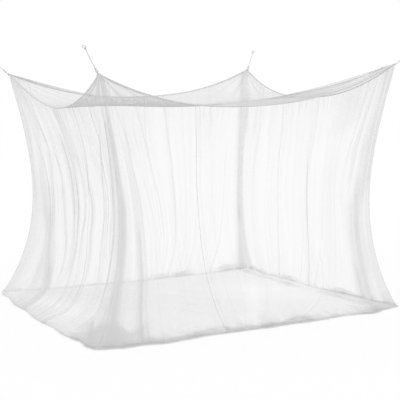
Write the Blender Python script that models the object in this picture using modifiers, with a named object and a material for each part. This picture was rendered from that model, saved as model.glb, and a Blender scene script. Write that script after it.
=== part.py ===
"""A box-shaped mosquito net tent, hung by cords from the four corners of its roof.

Metres, +Z up. X runs along the near and far walls and Y from the near wall to the far one.
The net stands on its floor panel at Z = 0, with the origin at the middle of its base.
"""

import math

import bmesh
import bpy
from mathutils import Matrix, Vector

# The roof's corners
LENGTH = 1.90  # between the corners along X
WIDTH = 1.80  # between the corners along Y
HEIGHT = 1.50  # of the roof over the ground, measured at its corners

# Cloth, bindings and seams
CLOTH = 0.001
GAP = 0.0004  # between pieces that are sewn together
RIM_RADIUS = 0.003
SEAM_RADIUS = 0.0025
HEM_RADIUS = 0.004
HEM_REACH = 0.0024  # from the middle of a hem's roll to the floor's edge beside its foot
ENTRY_EDGE_RADIUS = 0.0015

# How the cloth hangs
RIM_BOW_POWER = 1.5  # how soon a wall leaves the inward bow of its rim
HEM_BOW_POWER = 3  # how soon it leaves the bow of its hem, which is outward where over 0
DRAW_POWER = 0.8  # under 1 puts a corner's waist below the middle of its height
ROOF_NORM = 6  # how sharply the roof turns from one rim's sag to the other's
ROOF_RIDGE = 0.16  # share of the sag that the pull along a diagonal takes out
ROOF_POUCH = 0.005  # extra sag at the middle of the roof
FAN_POWER = 3  # how soon the folds run together towards the roof's corners
FOLD_EDGE = 0.02  # share of a wall's length in which its folds die out beside a seam
FOLD_END_POWER = 6  # how suddenly the folds end under the rim
FOLD_ENDS = 0.45  # share of a fold's height that is left at the hem
FOLD_RISE = 0.7  # under 1 puts the folds' full height below the middle

# Each corner: its side of the origin, how far its cord pulls it out of the roof's true
# rectangle along X, along Y and up, how far its seam is drawn in at the waist, and how far
# its foot is splayed out on the ground, along X and along Y
CORNERS = {
    "near_left": {
        "side": (-1, -1),
        "pull": (0.010, 0.000, -0.025),
        "draw": (0.156, 0.082),
        "splay": (0.080, 0.035),
    },
    "near_right": {
        "side": (1, -1),
        "pull": (0.010, 0.005, 0.015),
        "draw": (0.127, 0.113),
        "splay": (0.060, -0.030),
    },
    "far_right": {
        "side": (1, 1),
        "pull": (-0.010, 0.005, 0.015),
        "draw": (0.123, 0.119),
        "splay": (-0.050, -0.030),
    },
    "far_left": {
        "side": (-1, 1),
        "pull": (-0.035, -0.010, 0.005),
        "draw": (0.155, 0.140),
        "splay": (0.055, 0.055),
    },
}

# Each wall runs from its first corner to its second. A rim power over 2 makes its rim steep
# at the corners and flat in the middle. Its release is the share of the corners' draw that
# its middle gives back at the waist, or under 0 where it is drawn in further. Its folds are
# (distance of the fold from the first corner at the ground, height out of the wall, half
# width), in metres.
WALLS = {
    "near": {
        "ends": ("near_left", "near_right"),
        "out": (0, -1),
        "sag": 0.213,
        "rim_power": 2.3,
        "release": 0.65,
        "rim_bow": 0.050,
        "hem_bow": 0.045,
        "folds": (
            (0.085, 0.024, 0.045),
            (0.175, -0.018, 0.050),
            (0.270, 0.026, 0.050),
            (0.430, -0.012, 0.080),
            (0.900, -0.012, 0.130),
            (1.240, 0.016, 0.100),
            (1.480, -0.012, 0.080),
            (1.650, 0.026, 0.050),
            (1.760, -0.020, 0.045),
        ),
    },
    "right": {
        "ends": ("near_right", "far_right"),
        "out": (1, 0),
        "sag": 0.205,
        "rim_power": 2.3,
        "release": 0.25,
        "rim_bow": 0.050,
        "hem_bow": -0.030,
        "folds": (
            (0.100, 0.022, 0.050),
            (0.230, -0.016, 0.060),
            (0.520, 0.014, 0.110),
            (0.900, -0.012, 0.120),
            (1.260, 0.014, 0.110),
            (1.540, -0.018, 0.060),
            (1.690, 0.022, 0.050),
        ),
    },
    "far": {
        "ends": ("far_left", "far_right"),
        "out": (0, 1),
        "sag": 0.180,
        "rim_power": 2.3,
        "release": 0.10,
        "rim_bow": 0.050,
        "hem_bow": -0.075,
        "folds": (
            (0.110, 0.022, 0.050),
            (0.250, -0.016, 0.060),
            (0.620, 0.014, 0.120),
            (1.050, -0.012, 0.130),
            (1.420, 0.014, 0.110),
            (1.650, -0.018, 0.060),
            (1.790, 0.022, 0.050),
        ),
    },
    "left": {
        "ends": ("near_left", "far_left"),
        "out": (-1, 0),
        "sag": 0.207,
        "rim_power": 1.8,
        "release": -0.45,
        "rim_bow": 0.045,
        "hem_bow": 0.050,
        "folds": (
            (0.090, 0.022, 0.050),
            (0.220, -0.018, 0.055),
            (0.400, 0.018, 0.070),
            (0.620, -0.016, 0.080),
            (0.860, 0.016, 0.090),
            (1.110, -0.016, 0.090),
            (1.350, 0.018, 0.080),
            (1.560, -0.018, 0.055),
            (1.690, 0.022, 0.050),
        ),
    },
}

# The entry in the near wall: where the outer panel's free edge hangs from the rim, how far
# the inner panel runs on behind it, how far both are swept aside where they meet the
# ground, and how far they ease back towards the first corner at the waist
ENTRY_AT = 0.58
ENTRY_OVERLAP = 0.11
ENTRY_LAYER = 0.0025  # of each panel from the wall's middle surface
ENTRY_RAMP = 0.10  # from an entry edge to where its panel starts to lean back
ENTRY_SWEEP = 0.165
SWEEP_POWER = 4.3  # how soon the sweep dies out above the ground
ENTRY_EASE = 0.055

# The stitched patch outside each roof corner
PATCH_WIDTH = 0.022
PATCH_HEIGHT = 0.016
PATCH_THICKNESS = 0.0016
PATCH_ROUND = 0.0005
PATCH_DROP = 0.004  # of its middle below the corner

# The tape tab on the patch, folded round the cord
TAB_LENGTH = 0.018  # from its tack to the cord in its fold
TAB_WIDTH = 0.0066
TAB_THICKNESS = 0.003
TACK_THICKNESS = 0.0036
FOLD_WALL = 0.0013
FOLD_WIDTH = 0.0072

# The cords
CORD_RADIUS = 0.002
CORD_RISE = math.radians(40)  # of a taut cord over the level
CORD_LENGTH = 0.145  # between the two knots
CORD_SAG = 0.0015
LOWER_EYE_RADIUS = 0.008
UPPER_EYE_RADIUS = 0.010
KNOT_LENGTH = 0.013
KNOT_WIDTH = 0.010
KNOT_BITE = 0.002  # how deep an eye's ring runs into its knot
CORD_GAP = 0.0003

# How finely the shapes are divided
ACROSS = 32
ROWS = 9
ROOF_CELLS = 16
CROWDING = 0.45  # how much closer the samples lie near a corner, from 0 to 1
ROW_POWER = 1.3
LEAST_SPACING = 0.3  # of the even spacing, kept between an entry edge and the next sample
EDGE_END = 0.05  # share of its first and last span that an entry edge stops short by
BINDING_SIDES = 6
TUBE_SIDES = 8
CORD_POINTS = 16
RING_STEPS = 16
KNOT_STEPS = 8

UP = Vector((0, 0, 1))


def mix(a, b, t):
    return a + (b - a) * t


def hump(t):
    """A parabola that is 0 at both ends and 1 in the middle."""
    return 4 * t * (1 - t)


def early_hump(t):
    """A curve that is 0 at both ends and 1 at a third."""
    return 6.75 * t * (1 - t) ** 2


def rim_shape(wall, t):
    """The share of a rim's sag at share t of its length: 0 at the corners, 1 in the middle."""
    return 1 - abs(2 * t - 1) ** WALLS[wall]["rim_power"]


def rim_slope(wall, t):
    """The slope of rim_shape, without its sign."""
    power = WALLS[wall]["rim_power"]
    return 2 * power * abs(2 * t - 1) ** (power - 1)


def draw_shape(w):
    """The share of a corner's draw at share w of its height: 0 at both ends, 1 at the waist."""
    return math.sin(math.pi * w**DRAW_POWER)


def crowded(count):
    """count + 1 shares from 0 to 1 that lie closer together near both ends."""
    shares = [i / count for i in range(count + 1)]
    turn = 2 * math.pi
    return [t - CROWDING * math.sin(turn * t) / turn for t in shares]


def corner_plan(name, w):
    """Where a corner's seam is in plan at share w of its height."""
    corner = CORNERS[name]
    halves = (LENGTH / 2, WIDTH / 2)
    out = [
        half + mix(splay, pull, w) - draw * draw_shape(w)
        for half, splay, pull, draw in zip(halves, corner["splay"], corner["pull"], corner["draw"])
    ]
    return Vector((corner["side"][0] * out[0], corner["side"][1] * out[1], 0))


def corner_height(name):
    return HEIGHT + CORNERS[name]["pull"][2]


def rim_height(wall, u):
    """The height of a rim's middle line over the ground."""
    first, second = WALLS[wall]["ends"]
    sag = WALLS[wall]["sag"] * rim_shape(wall, u)
    return mix(corner_height(first), corner_height(second), u) - sag


def wall_length(wall):
    return LENGTH if WALLS[wall]["out"][0] == 0 else WIDTH


def fold_height(wall, u, w):
    """How far the folds stand out of a wall: bumps that fan out from the two top corners."""
    total = 0
    for place, height, half_width in WALLS[wall]["folds"]:
        foot = place / wall_length(wall)
        fan = 1 - w**FAN_POWER
        middle = foot * fan if foot < 0.5 else 1 - (1 - foot) * fan
        total += height * math.exp(-(((u - middle) * wall_length(wall) / half_width) ** 2))
    edge = min(1, hump(u) / hump(FOLD_EDGE))
    rise = FOLD_ENDS + (1 - FOLD_ENDS) * math.sin(math.pi * w**FOLD_RISE)
    return total * edge * rise * (1 - w**FOLD_END_POWER)


def wall_plan(wall, u, w, aside=0):
    """Where a wall is in plan, at share u from its first corner and share w of its height.

    It spans its two seams, bows in with the rim above and in or out with the hem below,
    is released or drawn in further between the corners, and stands out in its folds.
    """
    facts = WALLS[wall]
    first, second = facts["ends"]
    out = Vector((*facts["out"], 0))
    along = (Vector((*CORNERS[second]["side"], 0)) - Vector((*CORNERS[first]["side"], 0))).normalized()
    axis = 0 if facts["out"][0] else 1
    drawn = (CORNERS[first]["draw"][axis] + CORNERS[second]["draw"][axis]) / 2
    push = facts["release"] * drawn * rim_shape(wall, u) * draw_shape(w)
    push -= facts["rim_bow"] * hump(u) * w**RIM_BOW_POWER
    push += facts["hem_bow"] * hump(u) * (1 - w) ** HEM_BOW_POWER
    push += fold_height(wall, u, w) + aside
    swept = 0
    if wall == "near":
        swept = ENTRY_SWEEP * (1 - w) ** SWEEP_POWER - ENTRY_EASE * draw_shape(w)
        swept *= early_hump(u)
    return mix(corner_plan(first, w), corner_plan(second, w), u) + out * push + along * swept


def rim_point(wall, u):
    """The middle of a rim's binding."""
    return wall_plan(wall, u, 1) + UP * rim_height(wall, u)


def hem_point(wall, u):
    """The middle of a hem's roll, which lies on the ground."""
    return wall_plan(wall, u, 0) + UP * HEM_RADIUS


def wall_point(wall, u, w, aside=0):
    """A point of a wall's cloth, which runs from just over the hem to just under the rim."""
    steep = math.hypot(1, WALLS[wall]["sag"] * rim_slope(wall, u) / wall_length(wall))
    low = 2 * HEM_RADIUS + GAP
    high = rim_height(wall, u) - (RIM_RADIUS + GAP) * steep
    return wall_plan(wall, u, w, aside) + UP * mix(low, high, w)


def wall_rows():
    return [(j / ROWS) ** ROW_POWER for j in range(ROWS + 1)]


def entry_edges():
    """The places of the outer and the inner panel's free edges, as shares of the near wall."""
    return ENTRY_AT / LENGTH, (ENTRY_AT + ENTRY_OVERLAP) / LENGTH


def wall_shares(wall):
    """The places across a wall where its cloth, rim and hem all have a point."""
    edge = (SEAM_RADIUS + 2 * GAP) / wall_length(wall)
    shares = [mix(edge, 1 - edge, t) for t in crowded(ACROSS)]
    if wall == "near":
        bound = (ENTRY_EDGE_RADIUS + GAP) / LENGTH
        outer, inner = entry_edges()
        apart = LEAST_SPACING / ACROSS
        extra = (outer + bound, inner - bound)
        shares = [u for u in shares if all(abs(u - e) > apart for e in extra)]
        shares = sorted(shares + list(extra))
    return shares


def hem_shares(wall):
    """The places of a hem's points, from just clear of one seam to just clear of the other."""
    start = (HEM_RADIUS + SEAM_RADIUS + GAP) / wall_length(wall)
    return [start, *[u for u in wall_shares(wall) if start < u < 1 - start], 1 - start]


def base_middle():
    """The middle of the box round the hems, in plan."""
    feet = [hem_point(wall, u) for wall in WALLS for u in wall_shares(wall)]
    xs, ys = [p.x for p in feet], [p.y for p in feet]
    return Vector(((min(xs) + max(xs)) / 2, (min(ys) + max(ys)) / 2, 0))


def roof_corner(name):
    return corner_plan(name, 1) + UP * corner_height(name)


def roof_point(u, v):
    """A point of the roof, at share u along X and share v along Y.

    In plan it spans the four bowed rims. It sags as far as the deeper of the two rim curves
    that cross there, rounded off where they are alike, and the pull from corner to corner
    lifts its diagonals.
    """
    inset = RIM_RADIUS + 2 * GAP
    near = mix(roof_corner("near_left"), roof_corner("near_right"), u)
    far = mix(roof_corner("far_left"), roof_corner("far_right"), u)
    flat = mix(near, far, v)
    flat.x += hump(v) * mix(WALLS["left"]["rim_bow"], -WALLS["right"]["rim_bow"], u) + inset * (1 - 2 * u)
    flat.y += hump(u) * mix(WALLS["near"]["rim_bow"], -WALLS["far"]["rim_bow"], v) + inset * (1 - 2 * v)
    a = mix(rim_shape("near", u), rim_shape("far", u), v)
    b = mix(rim_shape("left", v), rim_shape("right", v), u)
    along_x = mix(WALLS["near"]["sag"], WALLS["far"]["sag"], v) * a
    along_y = mix(WALLS["left"]["sag"], WALLS["right"]["sag"], u) * b
    sag = (along_x**ROOF_NORM + along_y**ROOF_NORM) ** (1 / ROOF_NORM)
    alike = min(a, b) / max(a, b, 1e-9)
    sag *= 1 - ROOF_RIDGE * alike**2 * (1 - a * b)
    return flat - UP * (sag + ROOF_POUCH * a * b)


def clear_scene():
    for obj in list(bpy.data.objects):
        bpy.data.objects.remove(obj, do_unlink=True)


def new_collection(name):
    collection = bpy.data.collections.new(name)
    bpy.context.scene.collection.children.link(collection)
    return collection


def new_material(name, colour, roughness):
    material = bpy.data.materials.new(name)
    material.use_nodes = True
    shader = material.node_tree.nodes["Principled BSDF"]
    shader.inputs["Base Color"].default_value = (*colour, 1)
    shader.inputs["Roughness"].default_value = roughness
    shader.inputs["Metallic"].default_value = 0
    return material


def add(name, data, material, parent, place=None):
    """An object in the net's collection, with its material, under its parent."""
    if not data.materials:
        data.materials.append(material)
    obj = bpy.data.objects.new(name, data)
    net_collection.objects.link(obj)
    obj.parent = parent
    if place is not None:
        obj.matrix_local = place
    return obj


def add_empty(name, parent, place):
    empty = bpy.data.objects.new(name, None)
    empty.empty_display_size = 0.02
    net_collection.objects.link(empty)
    empty.parent = parent
    empty.matrix_local = place
    return empty


def tube(name, points, radius, sides, material, parent):
    """A round tube along the points, with closed ends."""
    curve = bpy.data.curves.new(name, "CURVE")
    curve.dimensions = "3D"
    curve.bevel_depth = radius
    curve.bevel_resolution = (sides - 4) // 2
    curve.use_fill_caps = True
    spline = curve.splines.new("POLY")
    spline.points.add(len(points) - 1)
    for point, place in zip(spline.points, points):
        point.co = (*place, 1)
    return add(name, curve, material, parent)


def split_towards_middle(shape):
    """Cut each cell of a grid along its diagonal that runs towards the middle."""
    for face in list(shape.faces):
        corners = sorted(face.verts, key=lambda vert: vert.co.length)
        bmesh.utils.face_split(face, corners[0], corners[-1])


def cloth(name, shares, rows, point, material, parent):
    """A sheet through point(share, row) at every pair of samples, thickened both ways."""
    mesh = bpy.data.meshes.new(name)
    shape = bmesh.new()
    columns, lines = len(shares) - 1, len(rows) - 1
    bmesh.ops.create_grid(shape, x_segments=columns, y_segments=lines, size=0.5)
    if columns == lines:
        split_towards_middle(shape)
    for vert in shape.verts:
        i = round((vert.co.x + 0.5) * columns)
        j = round((vert.co.y + 0.5) * lines)
        vert.co = point(shares[i], rows[j])
    shape.to_mesh(mesh)
    shape.free()
    mesh.shade_smooth()
    obj = add(name, mesh, material, parent)
    solidify = obj.modifiers.new("thickness", "SOLIDIFY")
    solidify.thickness = CLOTH
    solidify.offset = 0
    solidify.use_even_offset = True
    return obj


def mesh_object(name, build, place=None):
    """A loose mesh object in the cutters' collection, left out of the finished net."""
    mesh = bpy.data.meshes.new(name)
    shape = bmesh.new()
    build(shape)
    shape.to_mesh(mesh)
    shape.free()
    obj = bpy.data.objects.new(name, mesh)
    obj.hide_render = True
    obj.display_type = "WIRE"
    cutter_collection.objects.link(obj)
    if place is not None:
        obj.matrix_world = place
    return obj


def boolean(base, other, operation):
    modifier = base.modifiers.new(other.name, "BOOLEAN")
    modifier.object = other
    modifier.operation = operation


def baked_mesh(obj, name):
    """The object's mesh with its modifiers applied, for several objects to share."""
    bpy.context.view_layer.update()
    graph = bpy.context.evaluated_depsgraph_get()
    mesh = bpy.data.meshes.new_from_object(obj.evaluated_get(graph))
    mesh.name = name
    mesh.shade_smooth()
    mesh.set_sharp_from_angle(angle=math.radians(40))
    return mesh


def cylinder(radius, height, sides):
    def build(shape):
        bmesh.ops.create_cone(
            shape, cap_ends=True, segments=sides, radius1=radius, radius2=radius, depth=height
        )

    return build


def fold_bore():
    """The bore of a tab's fold: the eye's curved wire turns in it with CORD_GAP to spare."""
    half = FOLD_WIDTH / 2
    bend = LOWER_EYE_RADIUS - math.sqrt(LOWER_EYE_RADIUS**2 - half**2)
    slant = CORD_RADIUS / math.sqrt(1 - (half / LOWER_EYE_RADIUS) ** 2)
    return bend + slant + CORD_GAP


def tab_mesh():
    """The tape tab: a round tack at its origin, a strip along X, and the fold, bored along Y."""
    across = Matrix.Rotation(math.pi / 2, 4, "X")
    at_fold = Matrix.Translation((TAB_LENGTH, 0, 0)) @ across
    tack = mesh_object("tab_tack", cylinder(TAB_WIDTH / 2, TACK_THICKNESS, RING_STEPS))
    fold = mesh_object("tab_fold", cylinder(fold_bore() + FOLD_WALL, FOLD_WIDTH, RING_STEPS), at_fold)
    bore = mesh_object("tab_bore", cylinder(fold_bore(), 2 * FOLD_WIDTH, RING_STEPS), at_fold)
    size = Vector((TAB_LENGTH, TAB_WIDTH - GAP, TAB_THICKNESS))
    middle = Matrix.Translation((TAB_LENGTH / 2, 0, 0)) @ Matrix.Diagonal((*size, 1))
    strip = mesh_object("tab_strip", lambda shape: bmesh.ops.create_cube(shape, size=1, matrix=middle))
    boolean(strip, tack, "UNION")
    boolean(strip, fold, "UNION")
    boolean(strip, bore, "DIFFERENCE")
    return baked_mesh(strip, "tab")


def eye_mesh(name, ring_radius):
    """A tied eye: a ring of cord from the origin along X, and the knot that closes it."""
    bpy.ops.mesh.primitive_torus_add(
        major_segments=RING_STEPS,
        minor_segments=BINDING_SIDES,
        major_radius=ring_radius,
        minor_radius=CORD_RADIUS,
    )
    ring = bpy.context.object
    for collection in list(ring.users_collection):
        collection.objects.unlink(ring)
    cutter_collection.objects.link(ring)
    ring.name = name + "_ring"
    ring.data.transform(Matrix.Translation((ring_radius, 0, 0)))
    ring.hide_render = True
    ring.display_type = "WIRE"
    size = Matrix.Diagonal((KNOT_LENGTH / 2, KNOT_WIDTH / 2, KNOT_WIDTH / 2, 1))
    turn = Matrix.Rotation(math.pi / 2, 4, "Y")
    place = Matrix.Translation((knot_middle(ring_radius), 0, 0)) @ size @ turn

    def build(shape):
        bmesh.ops.create_uvsphere(
            shape, u_segments=KNOT_STEPS, v_segments=KNOT_STEPS - 2, radius=1, matrix=place
        )

    knot = mesh_object(name + "_knot", build)
    boolean(ring, knot, "UNION")
    return baked_mesh(ring, name)


def knot_middle(ring_radius):
    """From an eye's far wire to the middle of its knot."""
    return 2 * ring_radius + CORD_RADIUS - KNOT_BITE + KNOT_LENGTH / 2


def cord_start():
    """From the cord's pivot in the tab's fold to where its straight run leaves the knot."""
    return knot_middle(LOWER_EYE_RADIUS) + KNOT_LENGTH / 2 + CORD_GAP


def cord_points():
    """The middle line of a cord's run between its knots, in the frame of its pivot."""
    shares = [i / (CORD_POINTS - 1) for i in range(CORD_POINTS)]
    return [Vector((cord_start() + CORD_LENGTH * t, 0, -CORD_SAG * hump(t))) for t in shares]


def tack_distance():
    """From a roof corner, level and outwards, to the tab's tack, clear of the patch."""
    face = SEAM_RADIUS + GAP + PATCH_THICKNESS + GAP
    return face + TAB_WIDTH / 2 * math.cos(CORD_RISE) + TACK_THICKNESS / 2 * math.sin(CORD_RISE)


def cord_frame(name, origin):
    """A frame whose X runs along the taut cord, Y level across it and Z square to both."""
    out = Vector((*CORNERS[name]["side"], 0)).normalized()
    across = UP.cross(out)
    along = out * math.cos(CORD_RISE) + UP * math.sin(CORD_RISE)
    turn = Matrix((along, across, along.cross(across))).transposed().to_4x4()
    return Matrix.Translation(origin) @ turn


def build_walls(net, white, trim):
    outer, inner = entry_edges()
    bound = (ENTRY_EDGE_RADIUS + GAP) / LENGTH
    ramp = ENTRY_RAMP / LENGTH
    rows = wall_rows()
    for wall in ("far", "left", "right"):
        cloth(wall + "_wall", wall_shares(wall), rows, lambda u, w: wall_point(wall, u, w), white, net)

    def inner_side(u):
        return -ENTRY_LAYER * min(1, u / (outer - ramp))

    def outer_side(u):
        return ENTRY_LAYER * min(1, (1 - u) / (1 - inner - ramp))

    shares = wall_shares("near")
    left = [u for u in shares if u <= inner - bound + 1e-9]
    right = [u for u in shares if u >= outer + bound - 1e-9]
    cloth("near_wall_left", left, rows, lambda u, w: wall_point("near", u, w, inner_side(u)), white, net)
    cloth("near_wall_right", right, rows, lambda u, w: wall_point("near", u, w, outer_side(u)), white, net)
    for name, u, side in (("entry_edge_right", outer, outer_side), ("entry_edge_left", inner, inner_side)):
        line = [wall_point("near", u, w, side(u)) for w in rows]
        line[0] = line[0].lerp(line[1], EDGE_END)
        line[-1] = line[-1].lerp(line[-2], EDGE_END)
        tube(name, line, ENTRY_EDGE_RADIUS, BINDING_SIDES, trim, net)


def build_bindings(net, trim):
    for wall in WALLS:
        inside = wall_shares(wall)[1:-1]
        start = 2 * SEAM_RADIUS / wall_length(wall)
        rim = [start, *inside, 1 - start]
        tube(wall + "_rim", [rim_point(wall, u) for u in rim], RIM_RADIUS, BINDING_SIDES, trim, net)
        hem = [hem_point(wall, u) for u in hem_shares(wall)]
        tube(wall + "_hem", hem, HEM_RADIUS, BINDING_SIDES, trim, net)


def build_seams(net, trim):
    """The corner seams, from the ground up to the roof's corners, just inside each patch."""
    for name in CORNERS:
        wall = next(w for w in WALLS if name in WALLS[w]["ends"])
        first = WALLS[wall]["ends"][0] == name
        edge = wall_shares(wall)[0 if first else -1]
        line = []
        for w in wall_rows():
            height = wall_point(wall, edge, w).z
            line.append(corner_plan(name, w) + UP * height)
        foot = corner_plan(name, 0) + UP * HEM_RADIUS
        top = roof_corner(name)
        tube(name + "_seam", [foot, *line, top], SEAM_RADIUS, TUBE_SIDES, trim, net)


def build_roof(net, white):
    shares = crowded(ROOF_CELLS)
    cloth("roof_panel", shares, shares, roof_point, white, net)


def moved_left(line, distance):
    """The line moved level to its left by the distance, with mitred bends."""
    steps = [(b - a).normalized() for a, b in zip(line, line[1:])]
    out = []
    for point, before, after in zip(line, [steps[0], *steps], [*steps, steps[-1]]):
        along = (before + after).normalized()
        out.append(point + UP.cross(along) * distance / along.dot(after))
    return out


def build_floor(net, white):
    """The flat floor, cut along the hems."""
    outline = []
    for wall, forward in (("near", True), ("right", True), ("far", False), ("left", False)):
        step = 1 if forward else -1
        first = WALLS[wall]["ends"][::step][0]
        side = Vector((*CORNERS[first]["side"], 0))
        outline.append(corner_plan(first, 0) - side * HEM_REACH)
        line = [wall_plan(wall, u, 0) for u in hem_shares(wall)[::step]]
        outline += moved_left(line, HEM_REACH)
    curve = bpy.data.curves.new("floor_panel", "CURVE")
    curve.dimensions = "2D"
    curve.fill_mode = "BOTH"
    curve.extrude = CLOTH / 2
    spline = curve.splines.new("POLY")
    spline.use_cyclic_u = True
    spline.points.add(len(outline) - 1)
    for point, place in zip(spline.points, outline):
        point.co = (place.x, place.y, 0, 1)
    add("floor_panel", curve, white, net, Matrix.Translation((0, 0, CLOTH / 2)))


def build_corner(name, net, meshes, trim, cord_white):
    """A roof corner's patch, tab and cord. The tab turns on its tack, the cord in its fold."""
    corner = roof_corner(name)
    out = Vector((*CORNERS[name]["side"], 0)).normalized()
    level = Matrix((out, UP.cross(out), UP)).transposed().to_4x4()
    patch_at = corner + out * (SEAM_RADIUS + GAP + PATCH_THICKNESS / 2) - UP * PATCH_DROP
    add(name + "_patch", meshes["patch"], trim, net, Matrix.Translation(patch_at) @ level)
    tack = cord_frame(name, corner + out * tack_distance())
    add(name + "_tab", meshes["tab"], trim, net, tack)
    fold = cord_frame(name, tack @ Vector((TAB_LENGTH, 0, 0)))
    pivot = add_empty(name + "_cord_pivot", net, fold)
    add(name + "_lower_eye", meshes["lower_eye"], cord_white, pivot)
    tube(name + "_cord", cord_points(), CORD_RADIUS, TUBE_SIDES, cord_white, pivot)
    far_end = cord_start() + CORD_LENGTH + cord_start() - 2 * (LOWER_EYE_RADIUS - UPPER_EYE_RADIUS)
    turned = Matrix.Translation((far_end, 0, 0)) @ Matrix.Rotation(math.pi, 4, "Z")
    add(name + "_upper_eye", meshes["upper_eye"], cord_white, pivot, turned)


def patch_mesh():
    size = Matrix.Diagonal((PATCH_THICKNESS, PATCH_WIDTH, PATCH_HEIGHT, 1))
    plate = mesh_object("patch_plate", lambda shape: bmesh.ops.create_cube(shape, size=1, matrix=size))
    bevel = plate.modifiers.new("round", "BEVEL")
    bevel.width = PATCH_ROUND
    bevel.segments = 1
    return baked_mesh(plate, "patch")


clear_scene()
net_collection = new_collection("mosquito_net_tent")
cutter_collection = new_collection("cutters")
net_white = new_material("white_net", (0.86, 0.87, 0.89), 0.9)
trim_white = new_material("white_binding", (0.80, 0.81, 0.84), 0.8)
cord_white = new_material("white_cord", (0.84, 0.85, 0.88), 0.75)

net = add_empty("net", None, Matrix.Translation(-base_middle()))
build_walls(net, net_white, trim_white)
build_roof(net, net_white)
build_floor(net, net_white)
build_bindings(net, trim_white)
build_seams(net, trim_white)
shared = {
    "patch": patch_mesh(),
    "tab": tab_mesh(),
    "lower_eye": eye_mesh("lower_eye", LOWER_EYE_RADIUS),
    "upper_eye": eye_mesh("upper_eye", UPPER_EYE_RADIUS),
}
for corner_name in CORNERS:
    build_corner(corner_name, net, shared, trim_white, cord_white)
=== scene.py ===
# The looks of a box-shaped mosquito net tent: sheer net in hanging folds, bound and rolled
# edges, stitched corner tapes and braided cords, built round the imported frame.
import math

import bpy
import numpy as np
from mathutils import Matrix, Vector


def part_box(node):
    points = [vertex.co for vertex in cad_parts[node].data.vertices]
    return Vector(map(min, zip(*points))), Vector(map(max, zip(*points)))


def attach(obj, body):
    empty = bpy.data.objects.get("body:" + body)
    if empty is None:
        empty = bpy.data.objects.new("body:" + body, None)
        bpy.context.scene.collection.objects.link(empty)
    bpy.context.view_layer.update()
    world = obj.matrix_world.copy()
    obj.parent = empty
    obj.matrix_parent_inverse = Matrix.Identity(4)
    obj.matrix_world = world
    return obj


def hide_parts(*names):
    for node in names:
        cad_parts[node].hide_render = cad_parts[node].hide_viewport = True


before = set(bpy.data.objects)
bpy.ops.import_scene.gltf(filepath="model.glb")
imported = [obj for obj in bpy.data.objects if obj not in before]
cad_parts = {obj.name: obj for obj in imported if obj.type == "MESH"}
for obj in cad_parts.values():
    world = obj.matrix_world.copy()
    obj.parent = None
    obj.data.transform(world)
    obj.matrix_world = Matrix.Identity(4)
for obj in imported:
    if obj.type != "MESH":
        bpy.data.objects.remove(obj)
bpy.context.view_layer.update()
print("frame loaded:", len(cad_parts), "nodes")

# The net's own sizes, in metres. A power says how fast a shape fades away from the rim or from
# the ground, and drawPower how far below the middle the corners are drawn in most.
net = {
    "length": 1.90,
    "width": 1.80,
    "height": 1.50,
    "rimRadius": 0.003,
    "seamRadius": 0.0025,
    "hemRadius": 0.004,
    "patchThickness": 0.0016,
    "gap": 0.0004,
    "entryEdgeRadius": 0.0015,
    "rimBowPower": 1.5,
    "hemBowPower": 3,
    "spreadPower": 5,
    "spreadEase": 0.09,
    "drawPower": 0.8,
}

# Each corner: its side, how its cord pulls it, its draw at the waist and its splay at the foot
corners = {
    "near_left": {
        "side": (-1, -1),
        "pull": (0.010, 0.000, -0.025),
        "draw": (0.156, 0.082),
        "splay": (0.080, 0.035),
    },
    "near_right": {
        "side": (1, -1),
        "pull": (0.010, 0.005, 0.015),
        "draw": (0.127, 0.113),
        "splay": (0.060, -0.030),
    },
    "far_right": {
        "side": (1, 1),
        "pull": (-0.010, 0.005, 0.015),
        "draw": (0.123, 0.119),
        "splay": (-0.050, -0.030),
    },
    "far_left": {
        "side": (-1, 1),
        "pull": (-0.035, -0.010, 0.005),
        "draw": (0.155, 0.140),
        "splay": (0.055, 0.055),
    },
}

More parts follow.
